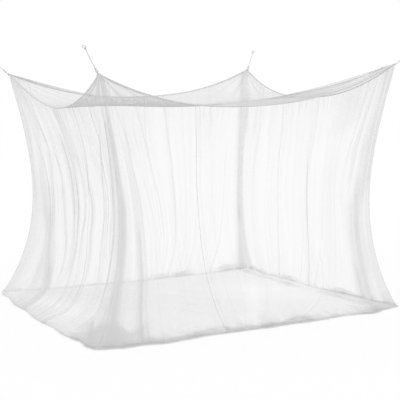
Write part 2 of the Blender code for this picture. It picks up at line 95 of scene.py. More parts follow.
# Each wall: its main folds are (place at the ground, height out of the wall, half width), and
# its spreads are (how far out, place, half width) where cloth lies further out at the ground
walls = {
    "near": {
        "ends": ("near_left", "near_right"),
        "out": (0, -1),
        "sag": 0.213,
        "rimPower": 2.3,
        "release": 0.65,
        "rimBow": 0.050,
        "hemBow": 0.045,
        "folds": (
            (0.085, 0.024, 0.045),
            (0.175, -0.018, 0.05),
            (0.27, 0.026, 0.05),
            (0.43, -0.012, 0.08),
            (0.9, -0.012, 0.13),
            (1.24, 0.016, 0.1),
            (1.48, -0.012, 0.08),
            (1.65, 0.026, 0.05),
            (1.76, -0.02, 0.045),
        ),
        "spreads": ((0.036, 0.24, 0.17), (0.04, 1.66, 0.14)),
    },
    "right": {
        "ends": ("near_right", "far_right"),
        "out": (1, 0),
        "sag": 0.205,
        "rimPower": 2.3,
        "release": 0.25,
        "rimBow": 0.050,
        "hemBow": -0.030,
        "folds": (
            (0.1, 0.022, 0.05),
            (0.23, -0.016, 0.06),
            (0.52, 0.014, 0.11),
            (0.9, -0.012, 0.12),
            (1.26, 0.014, 0.11),
            (1.54, -0.018, 0.06),
            (1.69, 0.022, 0.05),
        ),
    },
    "far": {
        "ends": ("far_left", "far_right"),
        "out": (0, 1),
        "sag": 0.180,
        "rimPower": 2.3,
        "release": 0.10,
        "rimBow": 0.050,
        "hemBow": -0.075,
        "folds": (
            (0.11, 0.022, 0.05),
            (0.25, -0.016, 0.06),
            (0.62, 0.014, 0.12),
            (1.05, -0.012, 0.13),
            (1.42, 0.014, 0.11),
            (1.65, -0.018, 0.06),
            (1.79, 0.022, 0.05),
        ),
    },
    "left": {
        "ends": ("near_left", "far_left"),
        "out": (-1, 0),
        "sag": 0.207,
        "rimPower": 1.8,
        "release": -0.45,
        "rimBow": 0.045,
        "hemBow": 0.050,
        "folds": (
            (0.09, 0.022, 0.05),
            (0.22, -0.018, 0.055),
            (0.4, 0.018, 0.07),
            (0.62, -0.016, 0.08),
            (0.86, 0.016, 0.09),
            (1.11, -0.016, 0.09),
            (1.35, 0.018, 0.08),
            (1.56, -0.018, 0.055),
            (1.69, 0.022, 0.05),
        ),
    },
}


upwards = np.array((0, 0, 1.0))


def mix(a, b, t):
    return a + (b - a) * t


def hump(t):  # a parabola, 0 at both ends and 1 in the middle
    return 4 * t * (1 - t)


def earlyHump(t):  # 0 at both ends and 1 at a third
    return 6.75 * t * (1 - t) ** 2


def rimShape(wall, t):  # the share of a rim's sag along its length
    return 1 - np.abs(2 * t - 1) ** walls[wall]["rimPower"]


def drawShape(w):  # the share of a corner's draw over its height
    return np.sin(np.pi * np.abs(w) ** net["drawPower"])


def smooth(low, high, x):  # 0 below low, 1 above high, an S between
    t = np.clip((x - low) / (high - low), 0, 1)
    return t * t * (3 - 2 * t)


def bell(x):  # 1 at 0, and falls away to both sides
    return np.exp(-(x**2))


def spot(u, v, across, along, halfAcross, halfAlong):  # a bell curve in both directions
    return np.exp(-(((u - across) / halfAcross) ** 2) - ((v - along) / halfAlong) ** 2)


# Waves that crowd and spread by turns: (share, length, bend, length of the bend). They bend
# along themselves, or along the other direction.
def wander(x, wave, turn=0, other=None):
    share, length, bend, bendLength = wave
    return share * np.sin(x / length + bend * np.sin((x if other is None else other) / bendLength) + turn)


def dappled(x, wave, turn=0, other=None):  # the same waves, from 1 downwards
    return 1 - wave[0] + wander(x, wave, turn, other)


def circle(sides):  # angles once round, as a row
    return np.linspace(0, 2 * np.pi, sides, endpoint=False)[None]


def wallLength(wall):
    return net["length"] if walls[wall]["out"][0] == 0 else net["width"]


def cornerPlan(name, w):  # where a corner's seam is in plan at share w of its height
    corner = corners[name]
    w = np.asarray(w, float)[..., None]
    half = np.array((net["length"], net["width"])) / 2
    spread = mix(np.array(corner["splay"]), np.array(corner["pull"][:2]), w)
    return np.array(corner["side"]) * (half + spread - np.array(corner["draw"]) * drawShape(w))


def cornerHeight(name):
    return net["height"] + corners[name]["pull"][2]


def rimHeight(wall, u):  # straight from corner to corner, less the rim's sag
    first, second = walls[wall]["ends"]
    return mix(cornerHeight(first), cornerHeight(second), u) - walls[wall]["sag"] * rimShape(wall, u)


# The hanging folds stand out of a wall as bell curves that fan out from its two top corners.
# They are highest below its middle and fade out under the rim.
folding = {"fanPower": 3, "footShare": 0.45, "swellPower": 0.7, "fadePower": 6, "endShare": 0.02}


def foldHeight(wall, u, w):
    total = 0
    for place, height, halfWidth in walls[wall]["folds"]:
        foot = place / wallLength(wall)
        fan = 1 - w ** folding["fanPower"]
        middle = foot * fan if foot < 0.5 else 1 - (1 - foot) * fan
        total = total + height * bell((u - middle) * wallLength(wall) / halfWidth)
    edge = np.minimum(1, hump(u) / hump(folding["endShare"]))
    swell = mix(folding["footShare"], 1, np.sin(np.pi * w ** folding["swellPower"]))
    return total * edge * swell * (1 - w ** folding["fadePower"])


# The entry: two panels of the near wall that overlap, each with a bound free edge. The wall's
# cloth sweeps to the right at the ground, most of all a third along, and back at the waist.
entry = {
    "at": 0.58,
    "overlap": 0.11,
    "layer": 0.0025,
    "ramp": 0.10,
    "innerCover": 0.4,
    "innerEase": (-0.01, 0.02),
    "sweep": 0.165,
    "sweepPower": 4.3,
    "ease": 0.055,
}


# A wall's plan spans its two seams, bows in with its rim, follows its hem's bow at the ground,
# gives back part of the corners' draw in the middle, and stands out in its folds
def wallPlan(wall, u, w, aside=0):
    facts = walls[wall]
    first, second = facts["ends"]
    out = np.array(facts["out"], float)
    axis = 0 if facts["out"][0] else 1
    drawn = (corners[first]["draw"][axis] + corners[second]["draw"][axis]) / 2
    push = facts["release"] * drawn * rimShape(wall, u) * drawShape(w)
    push = push - facts["rimBow"] * hump(u) * w ** net["rimBowPower"]
    push = push + facts["hemBow"] * hump(u) * (1 - w) ** net["hemBowPower"]
    s, ease = u * wallLength(wall), net["spreadEase"]
    low = (1 - w) ** net["spreadPower"] * smooth(0, ease, s) * smooth(0, ease, wallLength(wall) - s)
    for spread, place, halfWidth in facts.get("spreads", ()):
        push = push + spread * bell((s - place) / halfWidth) * low
    push = push + foldHeight(wall, u, w) + aside
    plan = mix(cornerPlan(first, w), cornerPlan(second, w), u[..., None]) + out * push[..., None]
    if wall == "near":
        swept = entry["sweep"] * (1 - w) ** entry["sweepPower"] - entry["ease"] * drawShape(w)
        plan[..., 0] += swept * earlyHump(u)
    return plan


def stacked(plan, z):  # plan points and heights as points, moved to the frame's origin
    return np.concatenate([plan, np.broadcast_to(z, plan.shape[:-1])[..., None]], -1) + origin


# The frame's origin is the middle of the hems' box, so the shapes here are moved by as much
# as brings a corner's patch to its place in the frame
def frameOrigin():
    low, high = (np.array(p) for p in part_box("near_left_patch"))
    out = np.array((-1, -1)) / math.sqrt(2)
    reach = net["seamRadius"] + net["gap"] + net["patchThickness"] / 2
    return np.append((low + high)[:2] / 2 - cornerPlan("near_left", 1.0) - out * reach, 0)


origin = frameOrigin()
print("origin", np.round(origin, 5))


def packed(values):  # as one row, for foreach_set
    return np.asarray(values, np.float32).ravel()


# A mesh from points and groups of faces, each group an array of faces with as many corners
def newObject(name, points, groups, uv=None, dense=None):
    order = np.concatenate([faces.ravel() for faces in groups]).astype(np.int32)
    sizes = np.concatenate([np.full(len(faces), faces.shape[1]) for faces in groups])
    mesh = bpy.data.meshes.new(name)
    mesh.vertices.add(len(points))
    mesh.vertices.foreach_set("co", packed(points))
    mesh.loops.add(len(order))
    mesh.loops.foreach_set("vertex_index", order)
    mesh.polygons.add(len(sizes))
    mesh.polygons.foreach_set("loop_start", (np.cumsum(sizes) - sizes).astype(np.int32))
    mesh.update(calc_edges=True)
    mesh.polygons.foreach_set("use_smooth", np.ones(len(sizes), bool))
    if uv is not None:
        mesh.uv_layers.new(name="cloth").data.foreach_set("uv", packed(uv[order]))
    if dense is not None:
        addDense(mesh, dense)
    mesh.validate()
    obj = bpy.data.objects.new(name, mesh)
    bpy.context.scene.collection.objects.link(obj)
    return obj


def addDense(mesh, dense):  # how much of the light the cloth stops at each point
    mesh.attributes.new("dense", "FLOAT", "POINT").data.foreach_set("value", packed(dense))


def gridFaces(rows, columns, wrap=False):  # quads of a grid, and round the back where it wraps
    i, j = np.meshgrid(np.arange(rows - 1), np.arange(columns if wrap else columns - 1), indexing="ij")
    near, far = i * columns, (i + 1) * columns
    k = (j + 1) % columns
    return np.stack([near + j, near + k, far + k, far + j], -1).reshape(-1, 4)


def arcLengths(points, axis):  # how far each point is along its line, from the line's start
    steps = np.linalg.norm(np.diff(points, axis=axis), axis=-1)
    start = np.zeros_like(np.take(steps, [0], axis=axis))
    return np.concatenate([start, np.cumsum(steps, axis=axis)], axis=axis)


# A sheet is a grid of points. Its UV is in metres of cloth, for the weave.
def sheetObject(name, points, dense, outward):
    rows, columns = points.shape[:2]
    across = np.broadcast_to(arcLengths(points, 1).mean(0), (rows, columns))
    up = np.broadcast_to(arcLengths(points, 0).mean(1)[:, None], (rows, columns))
    faces = gridFaces(rows, columns)
    corner = points.reshape(-1, 3)[faces]
    normal = np.cross(corner[:, 1] - corner[:, 0], corner[:, 3] - corner[:, 0]).sum(0)
    if normal @ outward < 0:
        faces = faces[:, ::-1]
    uv = np.stack([across, up], -1).reshape(-1, 2)
    return newObject(name, points.reshape(-1, 3), [faces], uv, np.broadcast_to(dense, (rows, columns)))


def sheetArea(points):  # each cell of the grid counts as a parallelogram
    a, b = points[1:, :-1] - points[:-1, :-1], points[:-1, 1:] - points[:-1, :-1]
    return np.linalg.norm(np.cross(a, b), axis=-1).sum()


# A round profile carried along a path. One side of it is always square to the path and to the
# given up direction. It is pressed by flat, and ripple is its radius's own change round it.
def sweptPoints(path, radius, sides, up, flat, ripple):
    along = np.gradient(path, axis=0)
    along /= np.linalg.norm(along, axis=1, keepdims=True)
    side = np.cross(np.asarray(up, float), along)
    side /= np.linalg.norm(side, axis=1, keepdims=True)
    top = np.cross(along, side)
    angle = circle(sides)[..., None]
    reach = np.reshape(radius, (-1, 1)) * (1 + ripple)
    ring = side[:, None] * np.cos(angle) + top[:, None] * (flat * np.sin(angle))
    return path[:, None] + ring * np.broadcast_to(reach, (len(path), sides))[..., None]


def tubeObject(name, path, radius, sides, up=(0, 0, 1), flat=1.0, ripple=0.0):
    points = sweptPoints(path, radius, sides, up, flat, ripple)
    rows = len(points)
    length = arcLengths(path[:, None], 0)[:, 0]
    girth = 2 * np.pi * np.mean(radius) * np.arange(sides) / sides
    uv = np.stack(np.broadcast_arrays(girth[None], length[:, None]), -1).reshape(-1, 2)
    uv = np.concatenate([uv, [[0, 0], [0, length[-1]]]])
    cloud = np.concatenate([points.reshape(-1, 3), [path[0], path[-1]]])
    start = np.arange(sides)
    end = (rows - 1) * sides + start
    first, last = np.full(sides, rows * sides), np.full(sides, rows * sides + 1)
    caps = np.concatenate([
        np.stack([start, np.roll(start, -1), first], -1),
        np.stack([np.roll(end, -1), end, last], -1),
    ])
    return newObject(name, cloud, [gridFaces(rows, sides, wrap=True)[:, ::-1], caps], uv)


# Shader maths: a socket that takes + - * with numbers and other sockets
class Value:
    def __init__(self, tree, socket):
        self.tree = tree
        self.socket = socket

    def combined(self, operation, *terms, **more):
        return addNode(self.tree, "ShaderNodeMath", {"operation": operation, **more}, dict(enumerate(terms)))

    def __add__(self, other):
        return self.combined("ADD", self, other)

    def __radd__(self, other):
        return self.combined("ADD", other, self)

    def __sub__(self, other):
        return self.combined("SUBTRACT", self, other)

    def __rsub__(self, other):
        return self.combined("SUBTRACT", other, self)

    def __mul__(self, other):
        return self.combined("MULTIPLY", self, other)

    def __rmul__(self, other):
        return self.combined("MULTIPLY", other, self)

    def larger(self, other):
        return self.combined("MAXIMUM", self, other)

    def cosine(self):
        return self.combined("COSINE", self)

    def kept(self):  # held between 0 and 1
        return self.combined("MULTIPLY", self, 1, use_clamp=True)


# Adds a node of a type with its settings and its sockets' values or links
def addNode(tree, kind, settings=None, inputs=None, output=0):
    node = tree.nodes.new(kind)
    for key, value in (settings or {}).items():
        setattr(node, key, value)
    for key, value in (inputs or {}).items():
        socket = node.inputs[key]
        if isinstance(value, Value):
            tree.links.new(value.socket, socket)
        else:
            socket.default_value = value
    return Value(tree, node.outputs[output]) if len(node.outputs) else None


def newMaterial(name):
    material = bpy.data.materials.new(name)
    material.use_nodes = True
    material.node_tree.nodes.clear()
    return material, material.node_tree


def finishMaterial(tree, inputs):
    shader = addNode(tree, "ShaderNodeBsdfPrincipled", None, inputs)
    addNode(tree, "ShaderNodeOutputMaterial", None, {"Surface": shader})


def clothPlace(tree):  # across and along the cloth, in metres
    uv = addNode(tree, "ShaderNodeUVMap", {"uv_map": "cloth"})
    return [addNode(tree, "ShaderNodeSeparateXYZ", None, {0: uv}, axis) for axis in "XY"]


def stepped(tree, value, edge):  # 0 below the edge's first value and 1 above its second
    ends = {"Value": value, "From Min": edge[0], "From Max": edge[1]}
    return addNode(tree, "ShaderNodeMapRange", {"interpolation_type": "SMOOTHSTEP"}, ends)


def blended(tree, factor, first, second):
    colours = {0: factor, 6: (*first, 1), 7: (*second, 1)}
    return addNode(tree, "ShaderNodeMix", {"data_type": "RGBA"}, colours, 2)


def mottled(tree, scale, detail):  # cloudy patches that stay with the object
    place = addNode(tree, "ShaderNodeTexCoord", None, None, "Object")
    return addNode(tree, "ShaderNodeTexNoise", None, {"Vector": place, "Scale": scale, "Detail": detail})


def raised(tree, height, strength, distance):
    inputs = {"Height": height, "Strength": strength, "Distance": distance}
    return addNode(tree, "ShaderNodeBump", None, inputs)


# Net: diamond mesh of fine threads. Its cover is the piece's own "dense" value, more on the
# threads and less in the holes. Its colour darkens to shade in random patches, and as painted
# shade where the cloth is dense in folds, gathers and hems. In the finishes, patches and wear
# are (scale, detail), and a bump is (strength, height).
netFinish = {
    "colour": (0.710, 0.710, 0.711),
    "shade": (0.630, 0.629, 0.632),
    "shadeEdge": (0.35, 0.95),
    "denseShade": 0.35,
    "patches": (9.0, 3),
    "pitch": 0.0028,
    "slant": 0.6,
    "threadEdge": (0.62, 0.95),
    "threadShare": 1.5,
    "holeShare": 0.7,
    "threadBump": (0.4, 0.0002),
    "roughness": 0.85,
}


def netMaterial():
    material, tree = newMaterial("sheerNet")
    across, along = clothPlace(tree)
    turn = 2 * math.pi / netFinish["pitch"]
    first = (across * turn + along * (turn * netFinish["slant"])).cosine()
    second = (across * turn - along * (turn * netFinish["slant"])).cosine()
    threads = stepped(tree, first.larger(second), netFinish["threadEdge"])
    dense = addNode(tree, "ShaderNodeAttribute", {"attribute_name": "dense"}, None, "Fac")
    share = netFinish["holeShare"] + threads * (netFinish["threadShare"] - netFinish["holeShare"])
    # painted shade: the colour goes darker where the cloth is dense, on top of random patches
    shade = mottled(tree, *netFinish["patches"]) + dense * netFinish["denseShade"]
    shade = stepped(tree, shade, netFinish["shadeEdge"])
    finishMaterial(tree, {
        "Base Color": blended(tree, shade, netFinish["colour"], netFinish["shade"]),
        "Roughness": netFinish["roughness"],
        "Alpha": (dense * share).kept(),
        "Normal": raised(tree, threads, *netFinish["threadBump"]),
    })
    return material


# Tape: plain weave with a row of stitches. The seam's and the entry's tapes are sheer between
# their stitches. Its colour is lighter on the ribs and darker between them, a painted shade of
# the weave, mixed with random wear.
tapeFinish = {
    "colour": (0.790, 0.790, 0.791),
    "shade": (0.670, 0.670, 0.672),
    "shadeEdge": (0.35, 0.85),
    "ribShade": 0.25,
    "stitchShade": 0.12,
    "wear": (120.0, 4),
    "ribPitch": 0.0009,
    "ribShare": 0.5,
    "ribBump": (0.6, 0.0003),
    "stitchPitch": 0.004,
    "stitchEdge": (0.1, 0.6),
    "stitchCover": 0.10,
    "roughness": 0.8,
}


def tapeMaterial(name, cover):
    material, tree = newMaterial(name)
    across, along = clothPlace(tree)
    turn = 2 * math.pi / tapeFinish["ribPitch"]
    ribs = (along * turn).cosine() * (across * turn).cosine()
    stitches = (along * (2 * math.pi / tapeFinish["stitchPitch"])).cosine()
    stitches = stepped(tree, stitches, tapeFinish["stitchEdge"])
    # painted shade between the ribs, plus random wear, with the stitches a little lighter
    shadeAndWear = ribs * tapeFinish["ribShade"] + mottled(tree, *tapeFinish["wear"])
    shadeAndWear = stepped(tree, shadeAndWear + stitches * tapeFinish["stitchShade"], tapeFinish["shadeEdge"])
    inputs = {
        "Base Color": blended(tree, shadeAndWear, tapeFinish["shade"], tapeFinish["colour"]),
        "Roughness": tapeFinish["roughness"],
        "Normal": raised(tree, ribs * tapeFinish["ribShare"] + stitches, *tapeFinish["ribBump"]),
    }
    if cover < 1:
        inputs["Alpha"] = stitches * (tapeFinish["stitchCover"] * (1 - cover)) + cover
    finishMaterial(tree, inputs)
    return material


# Cord: eight braided strands, whose ridges are in the mesh too. Its fibres slant across them,
# and its colour is darker between the fibres, a painted shade, mixed with random wear.
cordFinish = {
    "colour": (0.810, 0.810, 0.811),
    "grooveShade": (0.560, 0.560, 0.562),
    "grooveEdge": (0.3, 0.7),
    "fibreTurn": (9000, 6000),
    "fibreShade": 0.2,
    "fibreBump": (0.4, 0.0001),
    "wear": (300.0, 4),
    "roughness": 0.7,
}


def cordMaterial():
    material, tree = newMaterial("braidedCord")
    across, along = clothPlace(tree)
    alongTurn, acrossTurn = cordFinish["fibreTurn"]
    fibres = (along * alongTurn + across * acrossTurn).cosine()
    # painted shade between the fibres, plus random wear
    shadeAndWear = fibres * cordFinish["fibreShade"] + mottled(tree, *cordFinish["wear"])
    shadeAndWear = stepped(tree, shadeAndWear, cordFinish["grooveEdge"])
    finishMaterial(tree, {
        "Base Color": blended(tree, shadeAndWear, cordFinish["grooveShade"], cordFinish["colour"]),
        "Roughness": cordFinish["roughness"],
        "Normal": raised(tree, fibres, *cordFinish["fibreBump"]),
    })
    return material


sheerNet = netMaterial()
boundTape = tapeMaterial("boundTape", cover=1)
seamTape = tapeMaterial("seamTape", cover=0.16)
edgeTape = tapeMaterial("edgeTape", cover=0.40)
innerTape = tapeMaterial("innerTape", cover=0.02)
braidedCord = cordMaterial()
print("materials made")


def dress(obj, material, slot, body, *nodes):
    obj.data.materials.append(material)
    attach(obj, body)
    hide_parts(*nodes)
    return obj


# How the cloth hangs. Each line of a flow is one thread line: its place along the wall, in
# metres, at the nine heights below, from the rim down. Between two lines the cloth runs
# alongside them, so its place at the rim names a thread line anywhere on the wall.
# Bands are (place at the rim, half width, height out of the wall, cover, from, to), and from
# and to are the shares of the height between which they show. Cover is how much of the light
# the cloth stops there. Pleats are the same, but scattered. Upper is (from, cover) for the
# cloth under the rim, which is gathered cloth and painted shade under the rim: more cover, so
# a darker colour. On the ground, crumple is (height, cover), gathered are the places where
# it is higher, (place, half width), and heaps are (place, half width, height, cover).
flowHeights = (1, 0.85, 0.7, 0.55, 0.4, 0.25, 0.15, 0.07, 0)

pleats = {
    "near": {
        "seed": 11,
        "cover": 0.050,
        "spacing": 0.055,
        "halfWidth": 0.0075,
        "height": 0.005,
        "pleatCover": 0.036,
        "gatherCover": 0.110,
        "flow": (
            (0.05, 0.035, 0.045, 0.066, 0.063, 0.06, 0.06, 0.065, 0.07),
            (0.12, 0.08, 0.105, 0.15, 0.165, 0.175, 0.161, 0.163, 0.17),
            (0.58, 0.58, 0.58, 0.58, 0.58, 0.58, 0.58, 0.58, 0.58),
            (1.4, 1.4, 1.39, 1.39, 1.4, 1.42, 1.39, 1.26, 0.98),
            (1.78, 1.745, 1.69, 1.655, 1.663, 1.66, 1.645, 1.6, 1.5),
            (1.84, 1.828, 1.812, 1.8, 1.785, 1.773, 1.76, 1.74, 1.7),
        ),
        "bands": (
            (0, 0.034, 0, 0.6, -1, 2),
            (0.016, 0.014, 0.004, 0.24, 0.5, 0.9),
            (0.022, 0.02, 0.004, 0.4, -1, 0.62),
            (0.052, 0.006, 0.004, 0.12, -1, 2),
            (0.115, 0.055, 0, 0.11, -1, 2),
            (0.12, 0.026, 0.005, 0.2, -1, 0.8),
            (0.112, 0.011, 0.004, 0.32, -1, 0.5),
            (0.139, 0.009, 0.005, 0.26, -1, 0.9),
            (0.25, 0.06, 0, 0.05, 0.62, 2),
            (0.094, 0.01, 0.004, 0.16, 0.2, 0.85),
            (0.275, 0.009, 0.004, 0.11, 0.35, 2),
            (0.415, 0.007, 0.004, 0.08, 0.4, 2),
            (1.43, 0.007, 0.004, 0.28, -1, 0.34),
            (1.56, 0.13, 0, -0.03, -1, 0.85),
            (1.62, 0.012, 0.004, 0.08, 0.7, 2),
            (1.792, 0.03, 0, 0.16, -1, 0.55),
            (1.66, 0.13, 0, 0.17, 0.76, 2),
            (1.793, 0.007, 0.005, 0.26, 0.5, 2),
            (1.808, 0.02, 0.004, 0.2, -1, 0.52),
            (1.838, 0.017, 0.004, 0.2, 0.05, 0.78),
            (1.845, 0.034, 0, 0.15, 0.62, 2),
            (1.86, 0.012, 0.004, 0.16, 0.1, 0.85),
            (1.87, 0.02, 0, 0.1, -1, 0.35),
            (1.884, 0.01, 0.004, 0.3, 0.45, 2),
            (1.845, 0.007, 0.003, 0.12, -1, 0.5),
            (1.9, 0.016, 0, 0.16, -1, 2),
        ),
        "upper": (0.62, 0.06),
        "crumple": (0.026, 0.36),
        "gathered": ((0.36, 0.10), (0.86, 0.09), (1.12, 0.08), (1.72, 0.09)),
        "heaps": (
            (0.03, 0.12, 0.066, 0.74),
            (0.25, 0.13, 0.019, 0.42),
            (0.5, 0.16, 0.026, 0.52),
            (0.81, 0.14, 0.018, 0.54),
            (0.97, 0.075, 0.02, 0.3),
            (1.12, 0.12, 0.024, 0.52),
            (1.38, 0.11, 0.012, 0.26),
            (1.72, 0.13, 0.022, 0.44),
        ),
    },
    "right": {
        "seed": 12,
        "cover": 0.052,
        "spacing": 0.070,
        "halfWidth": 0.008,
        "height": 0.006,
        "pleatCover": 0.036,
        "gatherCover": 0.140,
        "flow": (
            (0.088, 0.092, 0.12, 0.14, 0.165, 0.18, 0.19, 0.21, 0.23),
            (0.166, 0.215, 0.29, 0.33, 0.295, 0.295, 0.32, 0.35, 0.38),
            (0.61, 0.6, 0.597, 0.598, 0.615, 0.66, 0.73, 0.8, 0.87),
            (0.77, 0.775, 0.815, 0.818, 0.81, 0.815, 0.83, 0.865, 0.92),
            (0.9, 0.9, 0.89, 0.87, 0.86, 0.875, 0.93, 0.98, 1.04),
            (1.21, 1.21, 1.215, 1.25, 1.27, 1.285, 1.292, 1.31, 1.33),
            (1.66, 1.7, 1.73, 1.74, 1.735, 1.72, 1.7, 1.67, 1.6),
        ),
        "bands": (
            (0, 0.05, 0, 0.14, -1, 2),
            (0.1, 0.06, 0, 0.07, -1, 2),
            (0.062, 0.018, 0.005, 0.24, 0.4, 2),
            (0.092, 0.02, 0.005, 0.26, -1, 0.6),
            (0.04, 0.01, 0.004, 0.12, -1, 0.8),
            (0.135, 0.01, 0.004, 0.12, -1, 0.4),
            (0.14, 0.034, 0.005, 0.22, -1, 0.24),
            (0.16, 0.014, 0.005, 0.12, 0.6, 2),
            (0.23, 0.012, 0.004, 0.06, 0.6, 2),
            (0.61, 0.007, 0.005, 0.06, -1, 0.9),
            (0.45, 0.15, 0, -0.028, -1, 0.85),
            (0.782, 0.012, 0.006, 0.3, -1, 0.75),
            (0.75, 0.008, 0.004, 0.08, 0.5, 2),
            (0.9, 0.006, 0.005, 0.08, -1, 0.5),
            (1.207, 0.01, 0.006, 0.22, -1, 2),
            (1.35, 0.008, 0.004, 0.06, 0.6, 2),
            (1.515, 0.014, 0.005, 0.14, 0.35, 1.1),
            (1.57, 0.03, 0.004, 0.09, 0.65, 2),
            (1.725, 0.045, 0, 0.17, 0.62, 0.97),
            (1.762, 0.03, 0, 0.32, -1, 0.97),
            (1.798, 0.03, 0, 0.12, -1, 2),
        ),
        "upper": (0.66, 0.04),
        "crumple": (0.014, 0.20),
        "gathered": ((0.12, 0.09), (0.62, 0.08), (1.24, 0.08)),
        "heaps": (
            (0.05, 0.12, 0.05, 0.05),
            (0.5, 0.15, 0.024, 0.3),
            (1.18, 0.1, 0.022, 0.3),
            (1.6, 0.12, 0.02, 0.26),
        ),
    },
    "far": {
        "seed": 13,
        "cover": 0.050,
        "spacing": 0.066,
        "halfWidth": 0.008,
        "height": 0.005,
        "pleatCover": 0.032,
        "gatherCover": 0.050,
        "flow": (
            (0.14, 0.11, 0.1, 0.1, 0.125, 0.17, 0.21, 0.27, 0.33),
            (0.7, 0.77, 0.835, 0.91, 0.99, 1.05, 1.06, 1.08, 1.09),
            (1.16, 1.18, 1.205, 1.23, 1.255, 1.268, 1.26, 1.23, 1.2),
            (1.43, 1.44, 1.45, 1.46, 1.471, 1.455, 1.43, 1.39, 1.34),
            (1.71, 1.72, 1.733, 1.733, 1.725, 1.69, 1.65, 1.6, 1.55),
            (1.82, 1.835, 1.85, 1.855, 1.85, 1.84, 1.82, 1.79, 1.75),
        ),
        "bands": (
            (0, 0.06, 0, 0.2, -1, 2),
            (0.14, 0.02, 0.005, 0.1, -1, 2),
            (0.735, 0.012, 0.005, 0.1, 0.6, 2),
            (0.915, 0.012, 0.005, 0.13, 0.2, 2),
            (1.16, 0.009, 0.005, 0.2, -1, 2),
            (1.43, 0.006, 0.005, 0.09, -1, 0.8),
            (1.56, 0.01, 0.004, 0.1, 0.65, 2),
            (1.713, 0.007, 0.005, 0.14, -1, 0.7),
            (0.8, 0.13, 0, 0.05, 0.62, 2),
            (1.868, 0.032, 0, 0.42, 0.22, 2),
            (1.876, 0.03, 0, 0.42, -1, 0.36),
        ),
        "upper": (0.66, 0.05),
        "crumple": (0.012, 0.20),
        "gathered": ((1.13, 0.08), (1.32, 0.07), (1.72, 0.08)),
        "heaps": ((1.15, 0.060, 0.024, 0.20), (1.32, 0.090, 0.030, 0.26), (1.72, 0.110, 0.034, 0.30)),
    },
    "left": {
        "seed": 14,
        "cover": 0.145,
        "spacing": 0.055,
        "halfWidth": 0.011,
        "height": 0.005,
        "pleatCover": 0.050,
        "gatherCover": 0.170,
        "flow": (
            (0.08, 0.065, 0.06, 0.07, 0.08, 0.07, 0.06, 0.1, 0.22),
            (0.2, 0.17, 0.16, 0.2, 0.25, 0.2, 0.14, 0.22, 0.38),
            (0.48, 0.42, 0.4, 0.345, 0.4, 0.34, 0.31, 0.38, 0.54),
            (0.585, 0.605, 0.65, 0.655, 0.72, 0.66, 0.6, 0.59, 0.82),
            (1.035, 1.01, 1.01, 1.035, 1.04, 0.9, 0.82, 0.81, 0.96),
            (1.31, 1.24, 1.275, 1.29, 1.24, 1.12, 1.02, 0.98, 1.1),
            (1.566, 1.47, 1.45, 1.43, 1.42, 1.3, 1.18, 1.1, 1.2),
            (1.7, 1.6, 1.6, 1.62, 1.58, 1.42, 1.29, 1.2, 1.3),
        ),
        "bands": (
            (0, 0.052, 0, 0.36, -1, 0.9),
            (0.11, 0.08, 0, 0.12, -1, 0.52),
            (0.1, 0.09, 0, 0.12, 0.62, 2),
            (0.04, 0.06, 0, 0.16, -1, 0.22),
            (0.23, 0.014, 0.004, 0.08, -1, 2),
            (0.302, 0.014, 0.005, 0.07, 0.55, 2),
            (0.436, 0.013, 0.005, 0.12, 0.66, 2),
            (0.462, 0.015, 0.004, 0.14, 0.05, 0.48),
            (0.508, 0.01, 0.004, 0.08, 0.62, 2),
            (0.576, 0.01, 0.006, 0.36, -1, 2),
            (0.612, 0.02, 0.004, 0.1, -1, 0.42),
            (0.685, 0.014, 0.004, 0.14, 0.5, 2),
            (0.745, 0.01, 0.004, 0.1, 0.7, 2),
            (0.798, 0.018, 0.005, 0.12, 0.6, 0.95),
            (0.862, 0.012, 0.004, 0.2, 0.72, 2),
            (0.905, 0.012, 0.005, 0.2, 0.6, 2),
            (0.88, 0.07, 0, 0.16, 0.66, 2),
            (0.955, 0.018, 0.006, 0.36, 0.35, 2),
            (1.05, 0.07, 0, 0.18, 0.42, 0.95),
            (0.985, 0.026, 0.005, 0.34, -1, 0.5),
            (1.065, 0.02, 0.006, 0.4, 0.15, 0.92),
            (1.11, 0.018, 0.004, 0.22, 0.1, 0.8),
            (1.165, 0.02, 0.004, 0.12, 0.05, 0.5),
            (1.27, 0.016, 0.005, 0.2, 0.62, 0.97),
            (1.322, 0.015, 0.005, 0.24, 0.1, 0.8),
            (1.385, 0.016, 0.004, 0.12, 0.85, 2),
            (1.47, 0.012, 0.004, 0.14, 0.85, 2),
            (1.505, 0.018, 0.006, 0.26, 0.3, 0.97),
            (1.61, 0.09, 0, 0.23, -1, 0.5),
            (1.64, 0.1, 0, 0.24, 0.08, 0.62),
            (1.6, 0.09, 0, 0.2, -1, 0.24),
            (1.545, 0.024, 0.005, 0.2, -1, 0.22),
            (1.64, 0.016, 0.004, 0.14, 0.8, 2),
            (1.7, 0.05, 0, 0.14, -1, 2),
            (1.716, 0.01, 0.004, 0.16, 0, 0.7),
            (1.752, 0.009, 0.005, 0.24, 0.4, 2),
            (1.79, 0.02, 0, 0.12, -1, 2),
        ),
        "upper": (0.45, 0.12),
        "crumple": (0.012, 0.16),
        "gathered": ((0.06, 0.16), (0.80, 0.08), (1.30, 0.07)),
        "heaps": ((0.08, 0.170, 0.062, 0.80), (0.30, 0.080, 0.022, 0.30)),
    },
}


